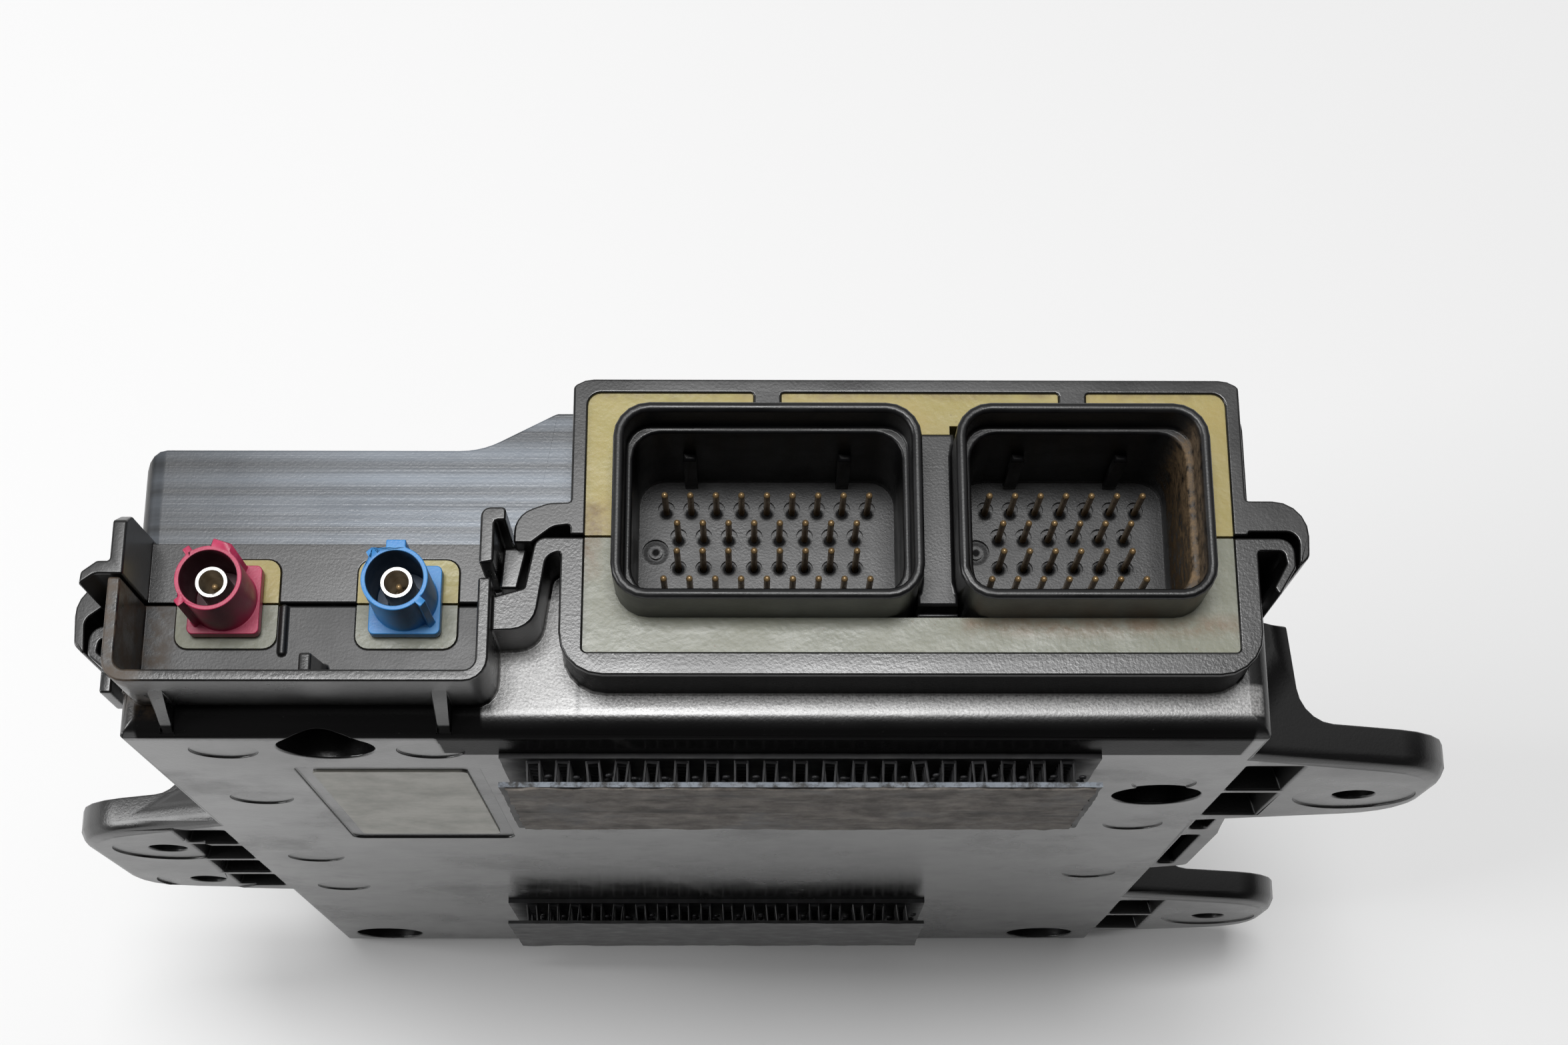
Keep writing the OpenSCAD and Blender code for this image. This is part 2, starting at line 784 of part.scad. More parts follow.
// Curved rib of the cover above the step of the seam
module cover_rib() {
    y0 = seam_hi_y + half_gap + 0.9;
    x1 = block_x0 + thinner + eps;
    along_z(front_z - wall, rim_z)
        polygon(rounded([
            [x1, y0 + 0.3, 0], [step_x + 2.8, y0, 2], [step_x + 0.4, y0 - 1.9, 0.3],
            [step_x - 1.6, y0 - 1.9, 0.3], [step_x - 1.6, y0 + 1.5, 3],
            [step_x + 2.2, y0 + 2.9, 4], [x1, y0 + 3, 0]
        ]));
}

// Small fin on the lower wall of the skirt and wedge on the front wall, between the plugs
module bay_ribs() {
    along_x(bay_mid + 0.2, bay_mid + 1.6)
        polygon([[bay_y0 + eps, front_z - eps], [bay_y0 + skirt_wall + 3.4, front_z - eps],
                 [bay_y0 + skirt_wall + 2.2, skirt_z - 1.2], [bay_y0 + eps, skirt_z - 1.2]]);
    along_z(front_z - eps, front_z + 0.7)
        translate([red_x + window_w / 2 + 0.4, seam_lo_y - half_gap - 6])
            square([0.8, 6]);
}

// Gusset under the lower wall of the skirt
module skirt_gusset(x, w) {
    along_x(x - w / 2, x + w / 2)
        polygon([[bay_y0 + eps, front_z - edge_r], [face_y + 0.5, front_z - edge_r],
                 [face_y + 0.5, front_z - 1], [bay_y0 + eps, skirt_z - 3]]);
}

module lower_shell() {
    color("#2b2b2d")
    difference() {
        union() {
            intersection() {
                housing_whole();
                below_seam();
            }
            for (w = wells)
                intersection() {
                    y_bar(w[0], w[1], boss_d, face_y + eps, seam_at(w[0]) - half_gap);
                    housing_hull();
                }
            for (b = board_bosses)
                y_bar(b[0], b[1], board_boss_d, face_y + eps, board_y0);
            along_z(lip_z, front_z - lip_join)
                base_lip(seam_hi_y, lip_out, half_w - wall);
            along_z(front_z - lip_join, rim_z)
                base_lip(seam_hi_y, lip_out, block_x1 - 1);
            mirror([1, 0, 0])
                along_z(lip_z, front_z + lip_end)
                    base_lip(lip_left_y, lip_out_left, half_w - wall);
            for (z = [foot_near_z, foot_far_z])
                foot(foot_right_out, [z], z, FOOT_RIGHT, RIM_RIGHT, seam_hi_y);
            mirror([1, 0, 0])
                foot(foot_left_out, [foot_left_z - foot_left_gap / 2, foot_left_z + foot_left_gap / 2],
                     foot_left_z, FOOT_LEFT, RIM_LEFT, lip_left_y);
            tie_rail();
            side_catch();
            step_rib();
            bay_ribs();
            skirt_gusset(bay_x0 + 4.9, 1.5);
            skirt_gusset(bay_x1 - 6, 1.6);
        }
        for (w = wells) {
            y_bar(w[0], w[1], well_d, face_y - 1, well_y);
            y_bar(w[0], w[1], screw_d + screw_clear, face_y, seam_hi_y + 1);
        }
        for (b = board_bosses)
            y_bar(b[0], b[1], board_screw_d + screw_clear, face_y + wall + 1, board_y0 + 1);
        for (m = marks)
            y_bar(m[0], front_z - m[1] - 5, mark_d, face_y - 1, face_y + mark_t);
        label_recess();
        plug_windows();
        coax_pockets();
        seal_path(fit_clear);
    }
}

module label_recess() {
    w = label_w / 2 + label_border;
    l = label_l / 2 + 1.7 * label_border;
    along_y(face_y - 1, face_y + recess_t)
        round_box(label_x - w, label_z - l, label_x + w, label_z + l, 1.5);
}

module upper_shell() {
    color("#232325")
    difference() {
        union() {
            intersection() {
                housing_whole();
                above_seam();
            }
            left_blade();
            right_hook();
            seam_tongue();
            cover_rib();
            for (w = wells)
                intersection() {
                    y_bar(w[0], w[1], post_d, seam_at(w[0]) + half_gap, cover_at(w[0]) - eps);
                    housing_hull();
                }
            along_z(lip_z, front_z - lip_join)
                cover_lip(seam_hi_y, lip_out, 0, half_w - wall);
            along_z(front_z - lip_join, rim_z)
                cover_lip(seam_hi_y, lip_out, 0, block_x1 - thinner - 1);
            mirror([1, 0, 0])
                along_z(lip_z, front_z + lip_end)
                    cover_lip(lip_left_y, lip_out_left, lip_sink, half_w - wall);
        }
        for (w = wells)
            y_bar(w[0], w[1], screw_d + screw_clear, face_y, seam_at(w[0]) + screw_tip + 1);
        coax_pockets();
        seal_path(fit_clear);
    }
}

// Seal cord in the rim of the base, along both sides and the rear
module seal_path(clear) {
    depth = 0.9;
    cord = 1 + 2 * clear;
    x = half_w - wall / 2;
    z1 = front_z - wall;
    for (side = [[-1, seam_lo_y], [1, seam_hi_y]])
        translate([side[0] * x - cord / 2, side[1] - depth - clear, wall / 2 - cord / 2])
            cube([cord, depth + half_gap + clear, z1 - wall / 2 + cord / 2]);
    along_z(wall / 2 - cord / 2, wall / 2 + cord / 2)
        intersection() {
            polygon(rounded(concat(seam_line(half_gap), reversed(seam_line(-depth - clear)))));
            square([2 * x, far], center = true);
        }
}

module housing_seal() {
    color("#4a4d50")
        seal_path(0);
}

// Pin headers

module shroud(count, x) {
    w = shroud_w(count) / 2;
    h = shroud_h / 2;
    difference() {
        along_z(floor_z - header_floor_t, shroud_z)
            round_box(x - w, header_y - h, x + w, header_y + h, shroud_r);
        along_z(floor_z, shroud_z + 1)
            round_box(x - w + shroud_wall, header_y - h + shroud_wall,
                      x + w - shroud_wall, header_y + h - shroud_wall, shroud_r - shroud_wall / 2);
        // Wider mouth down to the ledge
        along_z(shroud_z - mouth_depth, shroud_z + 1)
            round_box(x - w + rim_wall, header_y - h + rim_wall,
                      x + w - rim_wall, header_y + h - rim_wall, shroud_r - rim_wall);
        translate([x - w + shroud_wall + 2, header_y + pin_lift, floor_z - sink_t])
            difference() {
                cylinder(d = dimple_d, h = 2 * sink_t);
                cylinder(d = dimple_d / 2, h = sink_t * 0.8);
            }
    }
    // Key ribs on the upper inner wall, above the second pin from each end
    for (side = [-1, 1])
        translate([x + side * (count - 3) / 2 * pitch - key_w / 2, header_y + h - shroud_wall - key_out,
                   floor_z - eps])
            cube([key_w, key_out + eps, key_h + eps]);
}

// Calls its children at each pin of a header
module at_pins(count, x) {
    for (row = [0 : 3]) {
        n = (row == 0 || row == 3) ? count : count - 1;
        for (i = [0 : n - 1])
            translate([x + (i - (n - 1) / 2) * pitch, row_ys[row], 0]) {
                $tail = board_front - 1.5 - (3 - row) * tail_step;
                $row_y = row_ys[row];
                children();
            }
    }
}

module connector_block() {
    color("#17171a")
    difference() {
        union() {
            shroud(LARGE, large_x);
            shroud(SMALL, small_x);
            // Bridge between the shrouds: it ends short of the potting below
            along_z(floor_z - header_floor_t, potting_z + 0.6)
                translate([bridge_x0 - eps, header_y - shroud_h / 2 + bridge_low])
                    square([shroud_gap + 2 * eps, shroud_h - bridge_low - bridge_notch]);
            along_z(floor_z - header_floor_t, potting_z)
                translate([bridge_x0 - eps, header_y - shroud_h / 2 + 2 * fit_clear])
                    square([shroud_gap + 2 * eps, bridge_low - bridge_slot - 2 * fit_clear]);
            along_z(floor_z - header_floor_t, front_z)
                translate([bridge_x0 - eps, header_y - shroud_h / 2 + 2 * fit_clear])
                    square([shroud_gap + 2 * eps, shroud_h - 4 * fit_clear]);
            along_z(floor_z - header_floor_t, front_z - wall - collar_clear)
                difference() {
                    headers_outline(collar_out);
                    headers_outline(-shroud_wall / 2);
                }
        }
        for (pins = [[LARGE, large_x], [SMALL, small_x]])
            at_pins(pins[0], pins[1])
                translate([0, 0, floor_z - sink_t])
                    cylinder(d = sink_d, h = sink_t + 1, $fn = 24);
        at_pins(LARGE, large_x)
            cylinder(d = pin_d + 2 * fit_clear, h = far);
        at_pins(SMALL, small_x)
            cylinder(d = pin_d + 2 * fit_clear, h = far);
    }
}

// One bent contact pin: round tip in the header, tail through the board
module contact_pin() {
    tip = pin_d / 2;
    translate([0, 0, $tail])
        cylinder(d = pin_d, h = floor_z + pin_len - tip - $tail, $fn = 24);
    translate([0, 0, floor_z + pin_len - tip])
        sphere(d = pin_d, $fn = 24);
    translate([0, 0, $tail])
        sphere(d = pin_d, $fn = 24);
    translate([0, 0, $tail])
        rotate([90, 0, 0])
            cylinder(d = pin_d, h = $row_y - board_y0 + 1, $fn = 24);
}

module large_header_pins() {
    color("#b08d57")
        at_pins(LARGE, large_x)
            contact_pin();
}

module small_header_pins() {
    color("#b08d57")
        at_pins(SMALL, small_x)
            contact_pin();
}

// Potting between the shrouds and the raised frame
module header_potting() {
    difference() {
        along_z(front_z, potting_z)
            well_outline();
        along_z(0, far)
            headers_outline(0);
        for (x = [large_x, small_x])
            along_z(0, far)
                translate([x - tab_w / 2 - fit_clear, header_y])
                    square([tab_w + 2 * fit_clear, far]);
    }
    // Fills the notch above the bridge
    along_z(front_z, potting_z)
        translate([bridge_x0 + fit_clear, header_y + shroud_h / 2 - bridge_notch])
            square([shroud_gap - 2 * fit_clear, bridge_notch + eps]);
}

module header_potting_upper() {
    color("#d9cf9a")
        intersection() {
            header_potting();
            above_seam();
        }
}

module header_potting_lower() {
    color("#9aa08f")
        intersection() {
            header_potting();
            below_seam();
        }
}

// Coax plugs

// Key rib along a barrel at an angle, w wide
module barrel_key(angle, w, z0) {
    rotate([0, 0, angle])
        translate([barrel_d / 2 - barrel_wall / 2, -w / 2, z0])
            cube([barrel_wall / 2 + 0.75, w, barrel_z - z0]);
}

// Plastic shroud of a coax plug; keys are [angle, width] pairs
module plug_shroud(x, keys) {
    translate([x, plug_y, 0])
        difference() {
            union() {
                along_z(flange_z, flange_z + flange_t)
                    round_box(-flange_w / 2, -flange_w / 2, flange_w / 2, flange_w / 2, 0.7);
                z_bar(0, 0, barrel_d, flange_z, barrel_z);
                for (k = keys)
                    barrel_key(k[0], k[1], flange_z + flange_t / 2);
            }
            z_bar(0, 0, barrel_d - 2 * barrel_wall, flange_z + flange_t, far);
            z_bar(0, 0, tube_d + 2 * fit_clear, 0, far);
        }
}

// Metal tube of a coax plug with its body and the four legs that stand in the board
module plug_tube(x) {
    body_z1 = flange_z - flange_clear;
    body_z0 = body_z1 - coax_body_l;
    half = coax_body_w / 2;
    difference() {
        union() {
            translate([x, plug_y, 0])
                z_bar(0, 0, tube_d, body_z1 - eps, barrel_z - tube_drop);
            along_z(body_z0, body_z1)
                round_box(x - half, plug_y - half, x + half, plug_y + half, 0.4);
            for (dx = [-1, 1])
                for (z = [body_z0 + leg_inset, coax_front - leg_inset - leg_d / 2])
                    y_bar(x + dx * (half - leg_inset), z, leg_d, board_y0 - leg_out, plug_y - half + eps);
        }
        translate([x, plug_y, 0])
            z_bar(0, 0, tube_d - 2 * tube_wall, body_z0 + 1, far);
    }
}

// Plastic bead that holds the centre pin in the tube
module plug_insulator(x) {
    z0 = flange_z - flange_clear - coax_body_l + 1;
    translate([x, plug_y, 0])
        difference() {
            z_bar(0, 0, tube_d - 2 * tube_wall - 2 * fit_clear, z0, flange_z + flange_t);
            z_bar(0, 0, coax_pin_d + 2 * fit_clear, 0, far);
        }
}

module plug_pin(x) {
    z0 = flange_z - flange_clear - coax_body_l + 1;
    z1 = barrel_z - tube_drop - 1.6;
    translate([x, plug_y, 0]) {
        z_bar(0, 0, coax_pin_d, z0, z1 - coax_pin_d / 2);
        translate([0, 0, z1 - coax_pin_d / 2])
            sphere(d = coax_pin_d, $fn = 24);
    }
}

red_keys = [[72, 2.2], [128, 0.9], [222, 0.9]];
blue_keys = [[90, 2.2], [132, 0.9], [318, 0.9]];

module red_plug_shroud() {
    color("#b5244f")
        plug_shroud(red_x, red_keys);
}

module red_plug_tube() {
    color("#d8d8d4")
        plug_tube(red_x);
}

module red_plug_insulator() {
    color("#c9b089")
        plug_insulator(red_x);
}

module red_plug_pin() {
    color("#caa45a")
        plug_pin(red_x);
}

module blue_plug_shroud() {
    color("#4f9fd6")
        plug_shroud(blue_x, blue_keys);
}

module blue_plug_tube() {
    color("#d8d8d4")
        plug_tube(blue_x);
}

module blue_plug_insulator() {
    color("#c9b089")
        plug_insulator(blue_x);
}

module blue_plug_pin() {
    color("#caa45a")
        plug_pin(blue_x);
}

// Potting in the window behind a coax plug
module window_potting(x) {
    half = coax_body_w / 2 + fit_clear;
    along_z(front_z - wall, front_z + 0.1)
        difference() {
            plug_window(x);
            round_box(x - half, plug_y - half, x + half, plug_y + half, 0.4);
        }
}

module potting_above_seam(x) {
    color("#d9cf9a")
        intersection() {
            window_potting(x);
            above_seam();
        }
}

module potting_below_seam(x) {
    color("#9aa08f")
        intersection() {
            window_potting(x);
            below_seam();
        }
}

module red_potting_upper() {
    potting_above_seam(red_x);
}

module red_potting_lower() {
    potting_below_seam(red_x);
}

module blue_potting_upper() {
    potting_above_seam(blue_x);
}

module blue_potting_lower() {
    potting_below_seam(blue_x);
}

// Inside

module circuit_board() {
    color("#2f6b45")
    difference() {
        union() {
            along_y(board_y0, board_y1)
                round_box(-board_x, board_z0, board_x, board_front, 2);
            along_y(board_y0, board_y1)
                round_box(-board_x, board_z0, bay_x1 - 2, coax_front, 2);
        }
        for (w = wells)
            y_bar(w[0], w[1], boss_d + 2 * board_hole, face_y, far);
        for (b = board_bosses)
            y_bar(b[0], b[1], board_screw_d + screw_clear, face_y, far);
        for (pins = [[LARGE, large_x], [SMALL, small_x]])
            at_pins(pins[0], pins[1])
                translate([0, -$row_y, $tail])
                    y_bar(0, 0, pin_d + board_hole, face_y, far);
        for (x = [red_x, blue_x])
            for (dx = [-1, 1])
                for (z = [flange_z - flange_clear - coax_body_l + leg_inset,
                          coax_front - leg_inset - leg_d / 2])
                    y_bar(x + dx * (coax_body_w / 2 - leg_inset), z, leg_d + board_hole, face_y, far);
    }
}

// Box on the board: centre x and z, size across, along and up
module on_board(x, z, w, l, h) {
    translate([x - w / 2, board_y1, z - l / 2])
        cube([w, h, l]);
}

module radio_shield() {
    color("#c4c7c9")
    difference() {
        on_board(shield_x, shield_z, shield_w, shield_l, shield_h);
        on_board(shield_x, shield_z, shield_w - 2 * shield_t, shield_l - 2 * shield_t, shield_h - shield_t);
    }
}

module processor_chip() {
    color("#1c1c1e")
        on_board(chip_x, chip_z, chip_w, chip_w, chip_h);
}

module memory_chip() {
    color("#1c1c1e")
        on_board(chip_x, memory_z, memory_w, memory_l, memory_h);
}

module power_inductor() {
    half = inductor_w / 2;
    color("#3a3a3c")
    along_y(board_y1, board_y1 + inductor_h)
        round_box(inductor_x - half, inductor_z - half, inductor_x + half, inductor_z + half, inductor_w / 6);
}

module capacitors() {
    color("#9fa3a6")
    for (k = [0 : 2])
        y_bar(can_x - k * can_pitch, can_z, can_d, board_y1, board_y1 + can_h);
}

module board_screws() {
    color("#b9bbbd")
    for (b = board_bosses) {
        y_bar(b[0], b[1], board_screw_d, face_y + wall + 1.5, board_y1 + eps);
        y_bar(b[0], b[1], screw_cap_d, board_y1, board_y1 + screw_cap_t);
    }
}

module housing_screws() {
    color("#8f9295")
    for (w = wells)
        difference() {
            union() {
                y_bar(w[0], w[1], screw_head_d, well_y - head_t, well_y);
                y_bar(w[0], w[1], screw_d, well_y - eps, seam_at(w[0]) + screw_tip);
            }
            // Hexalobular drive drawn as a round socket
            y_bar(w[0], w[1], 3.6, well_y - head_t - 1, well_y - head_t + 1.6);
        }
}

// Label face

module blank_label() {
    color("#cfc9b8")
        along_y(face_y + recess_t - label_t, face_y + recess_t)
            round_box(label_x - label_w / 2, label_z - label_l / 2,
                      label_x + label_w / 2, label_z + label_l / 2, 0.8);
}

module tape(x, z, w, y0, y1) {
    along_y(y0, y1)
        round_box(x - w / 2, z - strip_h / 2, x + w / 2, z + strip_h / 2, 0.6);
}

// Base tape on the housing, with the pairs of stems that show along its edges
module strip_base(x, z, w) {
    y0 = face_y - tape_t;
    pairs = floor((w - stem_gap - stem_d) / stem_pitch);
    rows = floor((strip_h - 2 * stem_d) / stem_row);
    tape(x, z, w, y0, face_y);
    for (i = [0 : pairs])
        for (leg = [0, 1])
            for (k = [0 : rows])
                if (k == 0 || k == rows || (i == 0 && leg == 0) || (i == pairs && leg == 1))
                    y_bar(x + (i - pairs / 2) * stem_pitch + (leg - 0.5) * stem_gap,
                          z + (k - rows / 2) * stem_row,
                          stem_d, y0 - stem_l + stem_clear, y0 + eps, $fn = 16);
}

module strip_cover(x, z, w) {
    y1 = face_y - tape_t - stem_l;
    tape(x, z, w, y1 - tape_t, y1);
}

module front_strip_base() {
    color("#1d1c1b")
        strip_base(strip_front_x, strip_front_z, strip_front_w);
}

module front_strip_cover() {
    color("#262523")
        strip_cover(strip_front_x, strip_front_z, strip_front_w);
}

module front_strip_foam() {
    color("#6b6158")
        tape(strip_front_x, strip_front_z, strip_front_w - 1, face_y - 2 * tape_t - stem_l - foam_t,
             face_y - 2 * tape_t - stem_l);
}

module rear_strip_base() {
    color("#1d1c1b")
        strip_base(strip_rear_x, strip_rear_z, strip_rear_w);
}

module rear_strip_cover() {
    color("#201f1e")
        strip_cover(strip_rear_x, strip_rear_z, strip_rear_w);
}

lower_shell();
upper_shell();
housing_seal();
connector_block();
large_header_pins();
small_header_pins();
header_potting_upper();
header_potting_lower();
red_plug_shroud();
red_plug_tube();
red_plug_insulator();
red_plug_pin();
blue_plug_shroud();
blue_plug_tube();
blue_plug_insulator();
blue_plug_pin();
red_potting_upper();
red_potting_lower();
blue_potting_upper();
blue_potting_lower();
circuit_board();
radio_shield();
processor_chip();
memory_chip();
power_inductor();
capacitors();
board_screws();
housing_screws();
blank_label();
front_strip_base();
front_strip_cover();
front_strip_foam();
rear_strip_base();
rear_strip_cover();
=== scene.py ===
"""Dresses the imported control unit: moulded edges, contact pins, fastener stems, finishes, stage and camera."""

import logging
import math
from dataclasses import dataclass
from enum import Enum
from typing import Optional

import bmesh
import bpy
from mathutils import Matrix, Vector, noise


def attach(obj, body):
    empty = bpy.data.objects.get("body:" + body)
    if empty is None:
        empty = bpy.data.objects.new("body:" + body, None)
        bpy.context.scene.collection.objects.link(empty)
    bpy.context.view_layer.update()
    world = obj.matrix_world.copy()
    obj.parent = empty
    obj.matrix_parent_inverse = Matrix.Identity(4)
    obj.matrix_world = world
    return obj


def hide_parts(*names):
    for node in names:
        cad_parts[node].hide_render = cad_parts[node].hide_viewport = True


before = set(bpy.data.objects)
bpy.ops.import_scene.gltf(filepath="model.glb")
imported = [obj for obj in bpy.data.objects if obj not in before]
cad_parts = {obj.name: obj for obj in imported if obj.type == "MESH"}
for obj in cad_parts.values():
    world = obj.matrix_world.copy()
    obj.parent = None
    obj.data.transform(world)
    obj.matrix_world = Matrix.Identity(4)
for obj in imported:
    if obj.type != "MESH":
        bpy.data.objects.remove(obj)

LOG = logging.getLogger("control_unit")
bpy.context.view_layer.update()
MM = 0.001
BODY = "root"
# Pin field of both headers in millimetres; the two middle rows are one pin shorter
PIN_PITCH = 3.0
PIN_ROWS = (8.7, 5.3, 1.9, -1.5)
SHORT_ROWS = (1, 2)
# Cells of the strip layers in millimetres
GRID_STEP = 0.6
# Rounded edges: share of a face that a bevel may take, share of a neighbouring edge, least share worth cutting,
# and the corners above which a face's width is estimated from its area
ROOM_SHARE = 0.45
SPARE_SHARE = 0.9
LEAST_SHARE = 0.06
SIMPLE_CORNERS = 8

Colour = tuple[float, float, float]
Socket = bpy.types.NodeSocket
Point = tuple[float, float, float]
Region = tuple[Point, Point]


class Axis(Enum):
    """Axis of the row frame that a pattern runs along."""

    X = 0
    Y = 1
    Z = 2


def feed(target: Socket, value: object) -> None:
    """Links an output, or sets a plain value, on an input.

    Args:
        target: the input socket.
        value: an output socket, a number or a tuple.
    """
    if isinstance(value, bpy.types.NodeSocket):
        target.id_data.links.new(value, target)
    else:
        target.default_value = value


class Nodes:
    """Node tree with short calls for its nodes."""

    def __init__(self, tree: bpy.types.NodeTree) -> None:
        """Takes a tree over.

        Args:
            tree: the node tree to add to.
        """
        self.tree = tree

    def node(self, kind: str, settings: Optional[dict[str, object]] = None, **inputs: object) -> bpy.types.Node:
        """Adds a node and feeds its inputs.

        Args:
            kind: the node's type.
            settings: properties to set on the node.
            inputs: values or outputs by socket name, with underscores for spaces; a list feeds one socket.

        Returns:
            The new node.
        """
        made = self.tree.nodes.new(kind)
        for key, value in (settings or {}).items():
            setattr(made, key, value)
        for key, value in inputs.items():
            for one in value if isinstance(value, list) else [value]:
                feed(made.inputs[key.replace("_", " ")], one)
        return made

    def math(self, kind: str, first: object, second: object = 0.0) -> Socket:
        """Math node.

        Args:
            kind: the operation.
            first: first operand.
            second: second operand.

        Returns:
            The result.
        """
        made = self.node("ShaderNodeMath", {"operation": kind})
        feed(made.inputs[0], first)
        feed(made.inputs[1], second)
        return made.outputs["Value"]

    def times(self, first: object, second: object) -> Socket:
        """Returns the product of two values."""
        return self.math("MULTIPLY", first, second)

    def plus(self, first: object, second: object) -> Socket:
        """Returns the sum of two values."""
        return self.math("ADD", first, second)

    def minus(self, first: object, second: object) -> Socket:
        """Returns the first value less the second."""
        return self.math("SUBTRACT", first, second)


class Sheet(Nodes):
    """Node tree of one material, with short calls for the nodes that the finishes share."""

    def __init__(self, name: str) -> None:
        """Starts an empty material.

        Args:
            name: the material's name.
        """
        self.material = bpy.data.materials.new(name)
        self.material.use_nodes = True
        super().__init__(self.material.node_tree)
        self.shader = self.tree.nodes["Principled BSDF"]
        self.place = self.node("ShaderNodeTexCoord").outputs["Object"]

    def stretched(self, scale: Point, turn: Point = (0.0, 0.0, 0.0)) -> Socket:
        """Object coordinates turned, then scaled along each axis.

        Args:
            scale: factor for each axis.
            turn: Euler angles in degrees.

        Returns:
            The turned and scaled coordinates.
        """
        vector = self.place
        if any(turn):
            angles = tuple(math.radians(a) for a in turn)
            vector = self.node("ShaderNodeMapping", Vector=vector, Rotation=angles).outputs["Vector"]
        return self.node("ShaderNodeMapping", Vector=vector, Scale=scale).outputs["Vector"]

    def noise(self, scale: float, detail: float = 2.0, rough: float = 0.5,
              vector: Optional[Socket] = None) -> Socket:
        """Noise value between 0 and 1.

        Args:
            scale: noise cells for each metre.
            detail: octaves.
            rough: weight of the finer octaves.
            vector: coordinates, the object's own where none are given.

        Returns:
            The noise value.
        """
        made = self.node("ShaderNodeTexNoise", Vector=vector or self.place, Scale=scale, Detail=detail,
                         Roughness=rough)
        return made.outputs["Fac"]

    def remap(self, value: Socket, low: float, high: float,
              to_low: float = 0.0, to_high: float = 1.0) -> Socket:
        """Clamped linear map of a value.

        Args:
            value: the value to map.
            low: value that maps to to_low.
            high: value that maps to to_high.
            to_low: result at low.
            to_high: result at high.

        Returns:
            The mapped value.
        """
        made = self.node("ShaderNodeMapRange", {"clamp": True}, Value=value, From_Min=low, From_Max=high,
                         To_Min=to_low, To_Max=to_high)
        return made.outputs["Result"]

    def along(self, axis: Axis) -> Socket:
        """One component of the object coordinates.

        Args:
            axis: the axis to read.

        Returns:
            The coordinate in metres.
        """
        return self.node("ShaderNodeSeparateXYZ", Vector=self.place).outputs[axis.value]

    def near(self, axis: Axis, at: float, reach: float) -> Socket:
        """Mask that is 1 at a plane and falls to 0 at a distance.

        Args:
            axis: the plane's normal.
            at: the plane's coordinate in metres.
            reach: distance in metres at which the mask ends.

        Returns:
            The mask.
        """
        away = self.math("ABSOLUTE", self.minus(self.along(axis), at))
        return self.remap(away, 0.0, reach, 1.0, 0.0)

    def beyond(self, axis: Axis, at: float, soft: float) -> Socket:
        """Mask that rises from 0 to 1 across a plane.

        Args:
            axis: the plane's normal.
            at: the plane's coordinate in metres.
            soft: half the width of the rise in metres.

        Returns:
            The mask.
        """
        return self.remap(self.along(axis), at - soft, at + soft)

    def inside(self, low: Point, high: Point, soft: float) -> Socket:
        """Mask of a box with soft sides.

        Args:
            low: lowest corner in millimetres.
            high: highest corner in millimetres.
            soft: half the width of the soft sides in millimetres.

        Returns:
            The mask.
        """
        mask: object = 1.0
        for axis in Axis:
            rise = self.beyond(axis, low[axis.value] * MM, soft * MM)
            fall = self.minus(1.0, self.beyond(axis, high[axis.value] * MM, soft * MM))
            mask = self.times(mask, self.times(rise, fall))
        return mask

    def within(self, middle: tuple[float, float], radius: float, soft: float) -> Socket:
        """Mask of a round bar along z.

        Args:
            middle: x and y of its axis in millimetres.
            radius: its radius in millimetres.
            soft: half the width of the soft border in millimetres.

        Returns:
            The mask.
        """
        squares = []
        for axis, at in zip((Axis.X, Axis.Y), middle):
            squares.append(self.math("POWER", self.minus(self.along(axis), at * MM), 2.0))
        away = self.math("SQRT", self.plus(*squares))
        return self.remap(away, (radius - soft) * MM, (radius + soft) * MM, 1.0, 0.0)

    def patch(self, region: Region, soft: float, scale: float, rough: float, low: float, high: float) -> Socket:
        """Mask of a box that a cloud breaks up.

        Args:
            region: lowest and highest corners in millimetres.
            soft: half the width of the soft sides in millimetres.
            scale: cloud cells for each metre.
            rough: weight of the cloud's finer octaves.
            low: cloud value at which the patch begins.
            high: cloud value at which it is full.

        Returns:
            The mask.
        """
        return self.times(self.inside(*region, soft), self.remap(self.noise(scale, 5.0, rough), low, high))

    def mix(self, amount: object, first: object, second: object) -> Socket:
        """Mix of two colours.

        Args:
            amount: 0 for the first colour, 1 for the second.
            first: colour or output.
            second: colour or output.

        Returns:
            The mixed colour.
        """
        made = self.node("ShaderNodeMix", {"data_type": "RGBA"}, Factor=amount)
        for key, value in (("A", first), ("B", second)):
            target = next(s for s in made.inputs if s.name == key and s.type == "RGBA")
            feed(target, (*value, 1.0) if isinstance(value, tuple) else value)
        return next(s for s in made.outputs if s.type == "RGBA")

    def bump(self, height: Socket, depth: float, strength: float = 1.0,
             below: Optional[Socket] = None) -> Socket:
        """Bump from a height.

        Args:
            height: height between 0 and 1.
            depth: real height of 1, in metres.
            strength: share of the bump that is used.
            below: normal of another bump that this one lies on.

        Returns:
            The bumped normal.
        """
        made = self.node("ShaderNodeBump", Height=height, Distance=depth, Strength=strength)
        if below is not None:
            feed(made.inputs["Normal"], below)
        return made.outputs["Normal"]

    def set(self, **inputs: object) -> bpy.types.Material:
        """Sets the shader's inputs by name, with underscores for spaces.

        Args:
            inputs: plain values or outputs for the shader's own sockets.

        Returns:
            The finished material.
        """
        for key, value in inputs.items():
            target = self.shader.inputs[key.replace("_", " ")]
            if isinstance(value, tuple) and len(value) == 3 and target.type == "RGBA":
                value = (*value, 1.0)
            feed(target, value)
        return self.material


